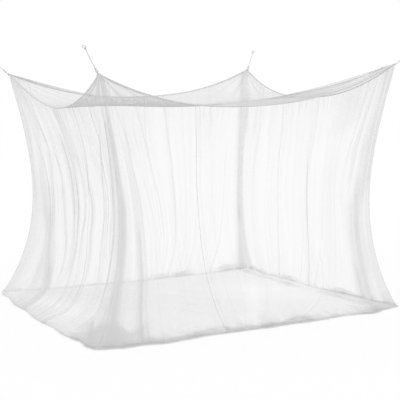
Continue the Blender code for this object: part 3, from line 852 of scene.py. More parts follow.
# What the four walls share. A pleat's and a gather's own sizes are drawn from ranges.
drape = {
    "flowSamples": (-0.3, 1.3, 321),
    "lineReach": 16,
    "crowdReach": 24,
    "crowdRange": (0.85, 1.5),
    "lean": 0.9,
    "ease": 0.12,
    "pleatShift": (-0.45, 0.45),
    "pleatWidth": (0.6, 1.7),
    "pleatSize": (0.25, 1.25),
    "pleatFrom": (-0.6, 0.35),
    "pleatTo": (0.75, 1.6),
    "pleatEase": 0.3,
    "overlapShare": 0.5,
    "gatherSpacing": 0.021,
    "gatherReach": (0.03, 0.15),
    "gatherWidth": (0.003, 0.006),
    "gatherHeight": 0.0022,
    "gatherFull": 0.3,
    "gatherSize": (0.2, 1.3),
    "upperFull": 1.02,
    "upperWave": (0.25, 0.043, 2, 0.19),
    "wideWave": (0.22, 0.035, 2, 0.17),
    "fineWave": (0.12, 0.012, 0, 1),
    "groundWave": (0.35, 0.041, 2, 0.15),
    "groundFine": (0.2, 0.013, 0, 1),
    "gatheredShare": 0.8,
    "creaseReach": 0.022,
    "creasePower": 1.3,
    "creaseWave": (0.005, 0.011, 2, 0.053),
    "creaseClimb": 0.0075,
    "crumpleWave": (0.25, 0.017, 1.3, 0.041),
    "crumpleClimb": 0.006,
    "heapWave": (0.22, 0.034, 2, 0.12),
    "heapRoll": (0.85, 0.2, 0.45),
    "footEase": (-0.004, 0.016),
    "endShare": 0.004,
    "seamGap": 0.0006,
    "rimLap": 0.002,
    "mostExtra": 0.95,
    "mostCover": 0.97,
    "points": 140,
    "spacing": 0.0036,
    "lowPower": 1.2,
}


def smoothed(rows, reach):  # each row averaged under a bell curve
    weights = bell(np.arange(-reach, reach + 1) / (reach / 2))
    padded = np.pad(rows, ((0, 0), (reach, reach)), "edge")
    return np.array([np.convolve(row, weights / weights.sum(), "valid") for row in padded])


# The thread lines' places at the heights asked for, straight between the given heights and
# then smoothed
def flowLines(wall, heights):
    start, end = (0,) * len(flowHeights), (wallLength(wall),) * len(flowHeights)
    given = np.array((start, *pleats[wall]["flow"], end))
    fine = np.linspace(*drape["flowSamples"])
    rough = [np.interp(np.clip(fine, 0, 1), flowHeights[::-1], line[::-1]) for line in given]
    lines = smoothed(np.array(rough), drape["lineReach"])
    return np.array([np.interp(heights, fine, line) for line in lines]), given[:, 0]


def slopeAlong(values, s):  # how steeply values change along each row
    return np.gradient(values, axis=1) / np.maximum(np.gradient(s, axis=1), 1e-6)


# The rim place of the thread line that passes each point, and how much closer together the
# lines are there than at the rim
def threadPlace(wall, s, w):
    lines, rim = flowLines(wall, w[:, 0])
    thread = np.array([np.interp(row, line, rim) for row, line in zip(s, lines.T)])
    return thread, smoothed(slopeAlong(thread, s), drape["crowdReach"])


def shown(w, low, high, ease):  # 1 between two heights and 0 beyond them, eased
    return smooth(low, low + ease, w) * (1 - smooth(high - ease, high, w))


def foldCurve(x, lean):  # a bell curve that is steeper on the side it leans to
    return bell(x * (1 + drape["lean"] * (lean * x > 0)))


# Folds across the thread lines: scattered pleats, then the wall's own bands, then the short
# gathers under the rim. Each adds to the height out of the wall and to the cover.
def wallFolds(wall, thread, w):
    facts, length = pleats[wall], wallLength(wall)
    rng = np.random.default_rng(facts["seed"])
    push, extra = np.zeros_like(thread), np.zeros_like(thread)
    for i in range(int(length / facts["spacing"])):
        place = (i + 0.5 + rng.uniform(*drape["pleatShift"])) * facts["spacing"]
        halfWidth = facts["halfWidth"] * rng.uniform(*drape["pleatWidth"])
        size = rng.uniform(*drape["pleatSize"])
        low, high = rng.uniform(*drape["pleatFrom"]), rng.uniform(*drape["pleatTo"])
        curve = foldCurve((thread - place) / halfWidth, rng.choice((-1, 1)))
        curve = curve * shown(w, low, high, drape["pleatEase"])
        push += facts["height"] * size * rng.choice((-1, 1)) * curve
        extra += facts["pleatCover"] * size * curve
    for place, halfWidth, height, cover, low, high in facts["bands"]:
        lean = rng.choice((-1, 1)) if height else 0
        curve = foldCurve((thread - place) / halfWidth, lean) * shown(w, low, high, drape["ease"])
        push += height * curve
        extra = extra + cover * curve * (1 - drape["overlapShare"] * extra)
    for i in range(int(length / drape["gatherSpacing"])):
        place = (i + rng.uniform(0, 1)) * drape["gatherSpacing"]
        reach = rng.uniform(*drape["gatherReach"])
        fade = smooth(1 - reach, 1 - drape["gatherFull"] * reach, w)
        curve = bell((thread - place) / rng.uniform(*drape["gatherWidth"])) * fade
        push += drape["gatherHeight"] * curve
        extra += facts["gatherCover"] * rng.uniform(*drape["gatherSize"]) * curve
    # the cloth under the rim: gathered cloth, and painted shade under the rim as more cover
    low, full = facts["upper"]
    extra += full * smooth(low, drape["upperFull"], w) * dappled(thread, drape["upperWave"])
    return push, extra


# Cloth crumpled on the ground, higher where it is gathered or heaped: a heap is thickest on
# the ground and has a roll at its top
def groundFolds(wall, s, w):
    facts = pleats[wall]
    tall, full = facts["crumple"]
    uneven = 1 + wander(s, drape["groundWave"]) + wander(s, drape["groundFine"])
    for place, halfWidth in facts["gathered"]:
        uneven = uneven + drape["gatheredShare"] * bell((s - place) / halfWidth)
    push = wander(s, drape["creaseWave"], w / drape["creaseClimb"])
    push = push * np.exp(-((w / drape["creaseReach"]) ** drape["creasePower"]))
    extra = full * bell(w / (tall * uneven)) * dappled(s, drape["crumpleWave"], w / drape["crumpleClimb"])
    rollAt, rollWidth, rollShare = drape["heapRoll"]
    for place, halfWidth, height, cover in facts["heaps"]:
        climb = w / (height * (1 + wander(s, drape["heapWave"])))
        heap = np.exp(-climb**3) + rollShare * bell((climb - rollAt) / rollWidth)
        extra = extra + cover * heap * bell((s - place) / halfWidth)
    return push, extra


# Height out of the wall and cover. Cloth that stands steeply or whose lines crowd together
# lies in more layers, and each layer stops the same share of the light.
def wallPleats(wall, u, w):
    s = u * wallLength(wall)
    thread, crowding = threadPlace(wall, s, w)
    push, extra = wallFolds(wall, thread, w)
    groundPush, groundExtra = groundFolds(wall, s, w)
    edge = np.minimum(1, hump(u) / hump(drape["endShare"]))
    push = (push + groundPush) * edge * smooth(*drape["footEase"], w)
    wide = 1 + wander(thread, drape["wideWave"]) + wander(thread, drape["fineWave"])
    layers = np.sqrt(1 + slopeAlong(push, s) ** 2) * np.clip(crowding, *drape["crowdRange"]) * wide
    extra = np.clip(extra + groundExtra, 0, drape["mostExtra"])
    return push, 1 - (1 - pleats[wall]["cover"]) ** layers * (1 - extra)


# The wall's plan pushed out by its pleats, from the hem's middle to just under the rim's
def wallPoints(wall, u, w, aside):
    push, dense = wallPleats(wall, u, w)
    plan = wallPlan(wall, u, w, aside + push)
    z = mix(net["hemRadius"], rimHeight(wall, u) - drape["rimLap"], w)
    return stacked(plan, z), np.clip(dense, 0, drape["mostCover"])


# Even steps along the wall, and rows that lie closer together near the ground
def wallGrid(wall, low, high):
    length = wallLength(wall)
    edge = drape["seamGap"] / length
    u = np.linspace(max(low, edge), min(high, 1 - edge), int((high - low) * length / drape["spacing"]))
    return np.meshgrid(u, np.linspace(0, 1, drape["points"]) ** drape["lowPower"])


# One panel, between two shares of its wall's length. The entry's inner panel covers less where
# the outer one hangs before it.
def makeWall(name, wall, low, high, aside, flat):
    u, w = wallGrid(wall, low, high)
    points, dense = wallPoints(wall, u, w, aside(u))
    if aside is innerSide:
        start, end = entry["innerEase"]
        dense = dense * mix(1, entry["innerCover"], smooth(outerEdge + start, outerEdge + end, u))
    out = np.append(np.array(walls[wall]["out"], float), 0)
    obj = sheetObject(name + "Net", points, dense, out)
    node = {"nearLeft": "near_wall_left", "nearRight": "near_wall_right"}.get(name, name + "_wall")
    dress(obj, sheerNet, "white_net", "net", node)
    print(name, "sheet:", points.size // 3, "points, area", round(float(sheetArea(points)), 3), "flat", flat)


outerEdge, innerEdge = entry["at"] / net["length"], (entry["at"] + entry["overlap"]) / net["length"]
rampShare = entry["ramp"] / net["length"]
boundShare = (net["entryEdgeRadius"] + net["gap"]) / net["length"]


# The entry's two panels hang a layer behind and a layer before the wall, and come back to it
# evenly towards their seams
def innerSide(u):
    return -entry["layer"] * np.minimum(1, u / (outerEdge - rampShare))


def outerSide(u):
    return entry["layer"] * np.minimum(1, (1 - u) / (1 - innerEdge - rampShare))


def noSide(u):
    return 0 * u


makeWall("nearLeft", "near", 0, innerEdge - boundShare, innerSide, flat=(0.95, 1.35))
makeWall("nearRight", "near", outerEdge + boundShare, 1, outerSide, flat=(1.50, 1.35))
makeWall("right", "right", 0, 1, noSide, flat=(2.10, 1.35))
makeWall("far", "far", 0, 1, noSide, flat=(2.20, 1.38))
makeWall("left", "left", 0, 1, noSide, flat=(2.40, 1.35))


# Roof: at each point about the deeper of the two rim curves that cross there, with ridges
# along its diagonals, wrinkles that run out of its corners and short gathers along its rims.
# Deeper parts are (across, along, half width across, half width along, cover), in shares of
# its sides, and edge is one on the near rim, without the along. Each corner has (across,
# along, start of its waves, cover).
roof = {
    "norm": 6,
    "ridge": 0.16,
    "pouch": 0.005,
    "inset": 0.8,
    "cover": 0.30,
    "lowFrom": (0.55 * 0.21, 0.95 * 0.21),
    "lowCover": 0.26,
    "farFrom": (0.52, 0.68),
    "farShare": 0.3,
    "deeper": ((0.50, 0.46, 0.60, 0.10, 0.26), (0.62, 0.24, 0.20, 0.17, 0.30)),
    "edge": (0.64, 0.24, 0.10, 0.34),
    "thinShare": 0.70,
    "thinAcross": (0.68, 0.90),
    "thinAlong": (0.70, 0.35),
    "corners": ((0, 0, 0.3, 0.02), (1, 0, 1.7, 0.12), (1, 1, 2.9, 0.04), (0, 1, 4.1, 0.16)),
    "cornerReach": 0.55,
    "tieReach": 0.12,
    "cornerEase": 0.06,
    "waves": ((1, 34), (0.6, 57)),
    "waveBend": (1.2, 5),
    "waveCover": (-0.5, 2),
    "wrinkleHeight": 0.0028,
    "wrinkleCover": 0.20,
    "gatherReach": 0.05,
    "gatherWave": (0.0008, 0.008, 2, 0.05),
    "rimEase": 0.01,
    "rimCover": 0.08,
    "rimReach": 0.03,
    "mostCover": 0.95,
    "points": 300,
    "flat": (2.05, 1.95),
}

# One long fold leaves the near right corner and turns away from the near rim
roofFold = {
    "slope": 0.25,
    "bend": 1.0,
    "from": (0.60, 0.72),
    "to": (1.0, 0.96),
    "halfWidth": 0.014,
    "height": 0.012,
    "cover": 0.45,
}


# The four rims' bows and sags, blended across: the sag is the norm of the two rims' curves
def roofShape(u, v):
    ends = {name: np.append(cornerPlan(name, 1.0), cornerHeight(name)) for name in corners}
    near = mix(ends["near_left"], ends["near_right"], u[..., None])
    far = mix(ends["far_left"], ends["far_right"], u[..., None])
    points = mix(near, far, v[..., None])
    inset = net["rimRadius"] * roof["inset"]
    bowX = mix(walls["left"]["rimBow"], -walls["right"]["rimBow"], u)
    bowY = mix(walls["near"]["rimBow"], -walls["far"]["rimBow"], v)
    points[..., 0] += hump(v) * bowX + inset * (1 - 2 * u)
    points[..., 1] += hump(u) * bowY + inset * (1 - 2 * v)
    a = mix(rimShape("near", u), rimShape("far", u), v)
    b = mix(rimShape("left", v), rimShape("right", v), u)
    alongX = mix(walls["near"]["sag"], walls["far"]["sag"], v) * a
    alongY = mix(walls["left"]["sag"], walls["right"]["sag"], u) * b
    sag = (alongX ** roof["norm"] + alongY ** roof["norm"]) ** (1 / roof["norm"])
    alike = np.minimum(a, b) / np.maximum(np.maximum(a, b), 1e-9)
    return points, sag * (1 - roof["ridge"] * alike**2 * (1 - a * b)) + roof["pouch"] * a * b


def roofCover(u, v, sag):  # slack cloth lies low, on the near side most of all
    low = smooth(*roof["lowFrom"], sag) * mix(1, roof["farShare"], smooth(*roof["farFrom"], v))
    dense = roof["cover"] + low * roof["lowCover"]
    for across, along, halfAcross, halfAlong, more in roof["deeper"]:
        dense += low * more * spot(u, v, across, along, halfAcross, halfAlong)
    across, halfAcross, halfAlong, more = roof["edge"]
    dense += more * np.exp(-(((u - across) / halfAcross) ** 4) - (v / halfAlong) ** 2)
    thin = smooth(*roof["thinAcross"], u) * smooth(*roof["thinAlong"], v)
    return dense * mix(1, roof["thinShare"], thin)


def cornerWaves(angle, start):  # wrinkles that fan out of a corner, in two sizes
    (share, count), (fineShare, fineCount) = roof["waves"]
    bend, bends = roof["waveBend"]
    waves = share * np.sin(count * angle + start + bend * np.sin(bends * angle))
    return waves + fineShare * np.sin(fineCount * angle + 2 * start)


def roofPoints(u, v):
    points, sag = roofShape(u, v)
    dense = roofCover(u, v, sag)
    x, y = u * net["length"], v * net["width"]
    aside = v - (1 - u) * (roofFold["slope"] + roofFold["bend"] * (1 - u))
    fold = bell(aside * net["width"] / roofFold["halfWidth"])
    fold = fold * smooth(*roofFold["from"], u) * smooth(*roofFold["to"], u)
    sag -= roofFold["height"] * fold
    dense += roofFold["cover"] * fold
    for cx, cy, start, more in roof["corners"]:
        dx, dy = x - cx * net["length"], y - cy * net["width"]
        away, angle = np.hypot(dx, dy), np.arctan2(np.abs(dy), np.abs(dx))
        reach = bell(away / roof["cornerReach"]) * smooth(0, roof["cornerEase"], away)
        waves = cornerWaves(angle, start)
        sag += roof["wrinkleHeight"] * reach * waves
        dense += roof["wrinkleCover"] * reach * np.clip(waves, *roof["waveCover"])
        dense += more * bell(away / roof["tieReach"])
    edge = np.minimum.reduce([x, y, net["length"] - x, net["width"] - y])
    run = np.where(np.minimum(x, net["length"] - x) < np.minimum(y, net["width"] - y), y, x)
    gathers = np.exp(-edge / roof["gatherReach"]) * wander(run, roof["gatherWave"])
    sag += gathers * smooth(0, roof["rimEase"], edge)
    dense += roof["rimCover"] * np.exp(-edge / roof["rimReach"])
    points[..., 2] -= sag
    return points + origin, np.clip(dense, 0, roof["mostCover"])


share = np.linspace(0, 1, roof["points"])
points, dense = roofPoints(*np.meshgrid(share, share))
roofSheet = sheetObject("roofNet", points, dense, upwards)
dress(roofSheet, sheerNet, "white_net", "net", "roof_panel")
print("roof area", round(float(sheetArea(points)), 3))


# Hem line, which is the wall's plan at the ground, and the floor that is sewn to it
def hemLine(wall, u):
    plan = wallPlan(wall, u, np.zeros_like(u))
    return stacked(plan, net["hemRadius"])


# Its bunches are (across, along, half width across, half width along, height, cover), in
# shares of its sides. Some parts are thinner, and a thin streak crosses it.
floorPanel = {
    "height": 0.0022,
    "cover": 0.205,
    "wrinkleHeight": 0.0008,
    "wrinkleShares": (0.5, 0.35, 0.15),
    "dimples": ((1, 0.055, 2, 0.21), (1, 0.083, 1.6, 0.17)),
    "dimpleCover": 0.010,
    "fineDimples": ((1, 0.021, 3, 0.09), (1, 0.034, 2, 0.06)),
    "fineCover": 0.006,
    "bunchWave": (0.3, 0.012, 2, 0.03),
    "bunchFine": 0.2,
    "edgeCover": 0.12,
    "edgeShare": 0.012,
    "streak": (0.37, 0.86, -0.26),
    "streakWidth": 0.036,
    "streakCover": -0.09,
    "streakFrom": (0.85, 0.45),
    "streakTo": (-0.05, 0.25),
    "mostCover": 0.9,
    "inset": 0.002,
    "points": (260, 240),
    "flat": (2.10, 1.92),
    "bunches": (
        (0.030, 0.040, 0.050, 0.060, 0.012, 0.30),
        (0.955, 0.600, 0.016, 0.080, 0.010, 0.48),
        (0.957, 0.790, 0.012, 0.100, 0.006, 0.30),
        (0.965, 0.940, 0.016, 0.050, 0.008, 0.36),
        (0.985, 0.330, 0.022, 0.080, 0.008, 0.36),
        (0.952, 0.260, 0.012, 0.100, 0.006, 0.34),
        (0.965, 0.110, 0.026, 0.080, 0.008, 0.30),
        (0.900, 0.100, 0.010, 0.080, 0.004, 0.14),
        (0.430, 0.022, 0.160, 0.022, 0.008, 0.26),
        (0.180, 0.024, 0.120, 0.022, 0.007, 0.22),
        (0.930, 0.022, 0.060, 0.018, 0.006, 0.26),
        (0.105, 0.660, 0.065, 0.250, 0.000, -0.16),
        (0.830, 0.550, 0.200, 0.300, 0.000, -0.13),
    ),
}


def dimpled(x, y, waves):  # two sets of waves that cross, each bent by the other
    return wander(x, waves[0], other=y) * wander(y, waves[1], other=x)


# The floor spans its four hem lines: each point mixes the lines across and along it, less the
# corners that both count
def floorPoints(u, v):
    ends = {name: np.append(cornerPlan(name, 0.0), 0) + origin for name in corners}
    line = u[0]
    near, far = hemLine("near", line)[None], hemLine("far", line)[None]
    left, right = hemLine("left", v[:, 0])[:, None], hemLine("right", v[:, 0])[:, None]
    s, t = u[..., None], v[..., None]
    flat = mix(mix(ends["near_left"], ends["near_right"], s), mix(ends["far_left"], ends["far_right"], s), t)
    points = mix(near, far, t) + mix(left, right, s) - flat
    x, y = points[..., 0], points[..., 1]
    waves = dimpled(x, y, floorPanel["dimples"])
    fine = dimpled(x, y, floorPanel["fineDimples"])
    plain, waved, creased = floorPanel["wrinkleShares"]
    wrinkles = floorPanel["wrinkleHeight"] * (plain + waved * waves + creased * fine)
    points[..., 2] = floorPanel["height"] + wrinkles
    edge = np.minimum(np.minimum(u, 1 - u), np.minimum(v, 1 - v))
    cover = floorPanel["cover"] + floorPanel["dimpleCover"] * waves + floorPanel["fineCover"] * fine
    cover = cover + floorPanel["edgeCover"] * np.exp(-edge / floorPanel["edgeShare"])
    uneven = 1 - floorPanel["bunchFine"] + floorPanel["bunchFine"] * fine
    for across, along, halfAcross, halfAlong, height, more in floorPanel["bunches"]:
        curve = spot(u, v, across, along, halfAcross, halfAlong)
        points[..., 2] += height * curve * dappled(x, floorPanel["bunchWave"], other=y)
        cover = cover + more * curve * (uneven if height else 1)
    place, slope, bend = floorPanel["streak"]
    streak = bell((u - (place + slope * v + bend * v**2)) / floorPanel["streakWidth"])
    streak = streak * smooth(*floorPanel["streakFrom"], v) * smooth(*floorPanel["streakTo"], v)
    cover = cover + floorPanel["streakCover"] * streak
    return points, np.clip(cover, 0, floorPanel["mostCover"])


inset = floorPanel["inset"]
across, along = (np.linspace(inset, 1 - inset, count) for count in floorPanel["points"])
points, dense = floorPoints(*np.meshgrid(across, along))
floorSheet = sheetObject("floorNet", points, dense, upwards)
dress(floorSheet, sheerNet, "white_net", "net", "floor_panel")
print("floor area", round(float(sheetArea(points)), 3))


# Hems: the cloth is rolled and bunched on the ground. Clumps are (place, extra radius, half
# width), and each side of the roll covers more the thicker it is.
hems = {
    "near": {
        "seed": 31,
        "roll": 0.0085,
        "cover": 0.09,
        "clumps": (
            (0.06, 0.008, 0.10),
            (0.22, 0.005, 0.06),
            (0.37, 0.006, 0.08),
            (0.86, 0.010, 0.08),
            (1.12, 0.006, 0.09),
            (1.30, 0.004, 0.03),
            (1.50, 0.003, 0.05),
            (1.72, 0.007, 0.08),
        ),
    },
    "right": {
        "seed": 32,
        "roll": 0.0050,
        "cover": 0.15,
        "clumps": (
            (0.12, 0.006, 0.12),
            (0.36, 0.004, 0.07),
            (0.58, 0.004, 0.14),
            (0.86, -0.002, 0.06),
            (1.40, 0.001, 0.30),
        ),
    },
    "far": {
        "seed": 33,
        "roll": 0.0042,
        "cover": 0.085,
        "clumps": (
            (0.62, 0.002, 0.08),
            (1.14, 0.004, 0.06),
            (1.32, 0.004, 0.08),
            (1.72, 0.004, 0.10),
        ),
    },
    "left": {
        "seed": 34,
        "roll": 0.0050,
        "cover": 0.20,
        "clumps": (
            (0.06, 0.005, 0.12),
            (0.28, 0.005, 0.07),
            (0.45, 0.003, 0.05),
            (0.75, 0.003, 0.06),
            (1.30, 0.002, 0.10),
        ),
    },
}

# What the four rolls share
rolling = {
    "sides": 28,
    "spacing": 0.003,
    "inset": 0.004,
    "endEase": 0.02,
    "endShare": 0.5,
    "uneven": (0.16, 0.019, 2, 0.11),
    "fineUneven": (0.10, 0.0075, 3, 0.07),
    "twist": (0.055, 1.5, 0.13),
    "folds": ((0.12, 3, 1), (0.08, 7, -1.7)),
    "creases": (0.06, 11, 0.006),
    "spillOut": 0.7,
    "pressed": 0.66,
    "middle": 0.62,
    "underside": 0.0003,
    "plainRadius": 0.006,
    "coverRange": (0.1, 0.9),
    "coverPower": 0.8,
    "foldCover": 1.2,
    "mostCover": 0.95,
}


# The roll is wrung like a twisted cloth. Its folds are (share of the radius, count round it,
# turns for one of the twist's), and its creases (share, count, length).
def rollRipple(s, seed):
    angle, along = circle(rolling["sides"]), s[:, None]
    length, bend, bendLength = rolling["twist"]
    start = np.random.default_rng(seed).uniform(0, 6)
    twist = along / length + bend * np.sin(along / bendLength) + start
    ripple = sum(share * np.sin(count * angle + turns * twist) for share, count, turns in rolling["folds"])
    share, count, length = rolling["creases"]
    return ripple + share * np.sin(count * angle + along / length)


# The roll is a wavy ring pressed flat on the ground, and its clumps spill outwards
def makeHem(wall):
    facts, length = hems[wall], wallLength(wall)
    inset, ease = rolling["inset"], rolling["endEase"]
    line = hemLine(wall, np.linspace(inset / length, 1 - inset / length, int(length / rolling["spacing"])))
    s = np.linspace(inset, length - inset, len(line))
    uneven = wander(s, rolling["uneven"]) + wander(s, rolling["fineUneven"])
    spill = np.zeros_like(s)
    for place, extra, halfWidth in facts["clumps"]:
        spill += extra * bell((s - place) / halfWidth)
    reach = facts["roll"] * (1 + uneven) + spill
    reach *= mix(rolling["endShare"], 1, smooth(0, ease, s) * smooth(0, ease, length - s))
    line[:, :2] += rolling["spillOut"] * spill[:, None] * np.array(walls[wall]["out"])
    line[:, 2] = reach * rolling["middle"] + net["gap"]
    ripple = rollRipple(s, facts["seed"])
    tube = tubeObject(wall + "HemRoll", line, reach, rolling["sides"], flat=rolling["pressed"], ripple=ripple)
    vertices = tube.data.vertices
    points = np.empty(len(vertices) * 3, np.float32)
    vertices.foreach_get("co", points)
    points[2::3] = np.maximum(points[2::3], rolling["underside"])
    vertices.foreach_set("co", points)
    full = facts["cover"] * (reach / rolling["plainRadius"]) ** rolling["coverPower"]
    full = np.clip(full, *rolling["coverRange"])[:, None] * (1 + rolling["foldCover"] * np.abs(ripple))
    full = np.append(full.ravel(), (full[0, 0], full[-1, 0]))
    addDense(tube.data, np.clip(full, 0, rolling["mostCover"]))
    tube.data.update()
    dress(tube, sheerNet, "white_binding", "net", wall + "_hem")


for wall in hems:
    makeHem(wall)
print("hems made")

# Rims and seams: folded tape, puckered by its stitches. The roof and the walls are bound
# together in the rims, and a narrower tape runs from the ground to each roof corner. A pucker
# is (share of the radius, length) of its stitches and of its slow waves.
binding = {
    "rimSides": 16,
    "rimSpacing": 0.002,
    "rimSwell": 1.05,
    "rimFlat": 1.15,
    "rimFold": 0.10,
    "seamSides": 12,
    "seamPoints": 500,
    "stitches": (0.05, 0.0021),
    "rimWaves": (0.03, 0.013),
    "seamWaves": (0.03, 0.017),
    "entrySides": 10,
    "entryPoints": 400,
    "entryStep": 0.001,
    "entryInset": 0.002,
}


def pucker(line, waves):  # the stitches' short waves and the given longer ones
    s = arcLengths(line[:, None], 0)
    return sum(share * np.sin(s / length) for share, length in (binding["stitches"], waves))


def makeRim(wall):  # an oval tape along the wall's plan at the rim
    length = wallLength(wall)
    start = 2 * net["seamRadius"] / length
    u = np.linspace(start, 1 - start, int(length / binding["rimSpacing"]))
    line = stacked(wallPlan(wall, u, np.ones_like(u)), rimHeight(wall, u))
    radius = np.full(len(line), net["rimRadius"] * binding["rimSwell"])
    sides = binding["rimSides"]
    ripple = pucker(line, binding["rimWaves"]) + binding["rimFold"] * np.cos(2 * circle(sides))
    tube = tubeObject(wall + "RimTape", line, radius, sides, flat=binding["rimFlat"], ripple=ripple)
    dress(tube, boundTape, "white_binding", "net", wall + "_rim")


def makeSeam(name):  # a round tape up the corner's plan
    w = np.linspace(0, 1, binding["seamPoints"])
    line = stacked(cornerPlan(name, w), mix(net["hemRadius"], cornerHeight(name), w))
    radius = np.full(len(line), net["seamRadius"])
    label = name.replace("_", "") + "SeamTape"
    ripple = pucker(line, binding["seamWaves"])
    tube = tubeObject(label, line, radius, binding["seamSides"], up=(1, 0, 0), ripple=ripple)
    dress(tube, seamTape, "white_binding", "net", name + "_seam")


# The edge follows the wall at its place. The wall is made a step to both sides of it too, for
# its slope there.
def makeEntryEdge(label, share, side, material, node):
    step, inset = binding["entryStep"], binding["entryInset"]
    u = share + np.array((-step, 0, step))
    u, w = np.meshgrid(u, np.linspace(inset, 1 - inset, binding["entryPoints"]))
    line = wallPoints("near", u, w, side(u))[0][:, 1]
    radius = np.full(len(line), net["entryEdgeRadius"])
    edge = tubeObject(label, line, radius, binding["entrySides"], up=(1, 0, 0))
    dress(edge, material, "white_binding", "net", node)


for wall in walls:
    makeRim(wall)
for name in corners:
    makeSeam(name)
makeEntryEdge("entryEdgeRight", outerEdge, outerSide, edgeTape, "entry_edge_right")
makeEntryEdge("entryEdgeLeft", innerEdge, innerSide, innerTape, "entry_edge_left")
print("bindings made")


# Corners: a stitched patch, a tape tab folded round the cord, and the cord with a tied eye at
# each end. Sizes repeat the frame's.
hanging = {
    "rise": math.radians(40),
    "cordRadius": 0.002,
    "cordLength": 0.145,
    "cordSag": 0.0015,
    "cordPoints": 16,
    "cordGap": 0.0003,
    "lowerEyeRadius": 0.008,
    "upperEyeRadius": 0.010,
    "knotLength": 0.013,
    "knotWidth": 0.010,
    "knotBite": 0.002,
    "tabLength": 0.018,
    "tabWidth": 0.0066,
    "tackThickness": 0.0036,
    "patchWidth": 0.022,
    "patchHeight": 0.016,
    "patchDrop": 0.004,
}
patch = {"sides": 64, "rows": 15, "edgePower": 0.35, "sectionPower": 6, "leastShare": 0.02}
tab = {
    "thickness": 0.0009,
    "loopRadius": 0.0034,
    "loopPoints": 30,
    "tail": 0.0025,
    "neck": 0.002,
    "opens": (0.010, 0.016),
    "tackHalf": 0.0009,
    "runPoints": 14,
    "rows": 7,
}
braid = {
    "sides": 16,
    "pitch": 6,
    "rise": 0.10,
    "drop": 0.04,
    "up": (0.31, 0.22, 0.92),
    "cordPoints": 260,
    "eyeGap": 0.16,
    "eyePoints": 90,
    "eyeNarrow": 0.25,
    "knotTurns": 3,
    "knotPoints": 110,
    "corePoints": 24,
    "coreLap": 0.001,
}


def cornerFrame(name):  # columns: along the taut cord, level across it, square to both
    out = np.append(np.array(corners[name]["side"], float), 0) / math.sqrt(2)
    across = np.cross(upwards, out)
    along = out * math.cos(hanging["rise"]) + upwards * math.sin(hanging["rise"])
    return out, np.stack([along, across, np.cross(along, across)], 1)


def knotMiddle(eyeRadius):  # how far a knot's middle is from its loop's far end
    return 2 * eyeRadius + hanging["cordRadius"] - hanging["knotBite"] + hanging["knotLength"] / 2


cordStart = knotMiddle(hanging["lowerEyeRadius"]) + hanging["knotLength"] / 2 + hanging["cordGap"]


# Braid: eight strands cross over and under, so the radius rises where the two spirals agree
def braidedTube(name, path):
    radius, sides, angle = hanging["cordRadius"], braid["sides"], circle(braid["sides"])
    lay = 2 * np.pi * arcLengths(path[:, None], 0) / (braid["pitch"] * radius) / 2
    ripple = braid["rise"] * np.abs(np.sin(2 * (angle + lay)) * np.sin(2 * (angle - lay))) - braid["drop"]
    return tubeObject(name, path, np.full(len(path), radius), sides, up=braid["up"], ripple=ripple)


def eyePath(eyeRadius):  # a loop that leaves the knot, goes round and comes back to it
    angle = np.linspace(braid["eyeGap"], 2 * np.pi - braid["eyeGap"], braid["eyePoints"])
    x = eyeRadius + eyeRadius * np.cos(angle)
    y = eyeRadius * np.sin(angle) * (1 - braid["eyeNarrow"] * smooth(eyeRadius, 2 * eyeRadius, x))
    return np.stack([x, y, np.zeros_like(x)], 1)


def knotPath(eyeRadius):  # three turns of cord round the loop's two legs
    turn = np.linspace(0, 1, braid["knotPoints"])
    reach = hanging["knotWidth"] / 2 - hanging["cordRadius"]
    angle = 2 * np.pi * braid["knotTurns"] * turn
    x = knotMiddle(eyeRadius) + (turn - 0.5) * (hanging["knotLength"] - 2 * hanging["cordRadius"])
    return np.stack([x, reach * np.cos(angle), reach * np.sin(angle)], 1)


def corePath(eyeRadius):  # the legs inside the knot
    end = knotMiddle(eyeRadius) + hanging["knotLength"] / 2
    x = np.linspace(2 * eyeRadius - braid["coreLap"], end, braid["corePoints"])
    return np.stack([x, np.zeros_like(x), np.zeros_like(x)], 1)


def joined(name, parts):  # several meshes as one
    for obj in bpy.context.selected_objects:
        obj.select_set(False)
    for part in parts:
        part.select_set(True)
    bpy.context.view_layer.objects.active = parts[0]
    bpy.ops.object.join()
    parts[0].name = name
    return parts[0]


# An eye's three pieces of cord. The upper eye is the lower one turned end for end.
def makeEye(label, pivot, axes, eyeRadius, upper):
    parts = []
    for i, path in enumerate((eyePath(eyeRadius), knotPath(eyeRadius), corePath(eyeRadius))):
        if upper:
            shift = hanging["lowerEyeRadius"] - hanging["upperEyeRadius"]
            end = 2 * cordStart + hanging["cordLength"] - 2 * shift
            path = np.stack([end - path[:, 0], -path[:, 1], path[:, 2]], 1)
        parts.append(braidedTube(f"{label}{i}", pivot + path @ axes.T))
    return joined(label, parts)


# A rounded slab: its edge and its section are superellipses
def makePatch(name, plain, corner, out, axes):
    ring = circle(patch["sides"])
    depth = np.linspace(-1, 1, patch["rows"])[:, None]
    wide, tall = (np.sign(wave) * np.abs(wave) ** patch["edgePower"] for wave in (np.cos(ring), np.sin(ring)))
    wide, tall = wide * hanging["patchWidth"] / 2, tall * hanging["patchHeight"] / 2
    shrink = (1 - np.abs(depth) ** patch["sectionPower"]) ** (1 / patch["sectionPower"])
    shrink = np.maximum(shrink, patch["leastShare"])[..., None]
    half = net["patchThickness"] / 2
    middle = corner + out * (net["seamRadius"] + net["gap"] + half) - hanging["patchDrop"] * upwards
    points = middle + wide[..., None] * shrink * axes[:, 1] + tall[..., None] * shrink * upwards
    points = points + half * depth[..., None] * out
    uv = np.stack(np.broadcast_arrays(wide, tall + 0 * depth), -1).reshape(-1, 2)
    faces = gridFaces(len(depth), ring.size, wrap=True)
    obj = newObject(plain + "Patch", points.reshape(-1, 3), [faces], uv)
    dress(obj, boundTape, "white_binding", "net", name + "_patch")


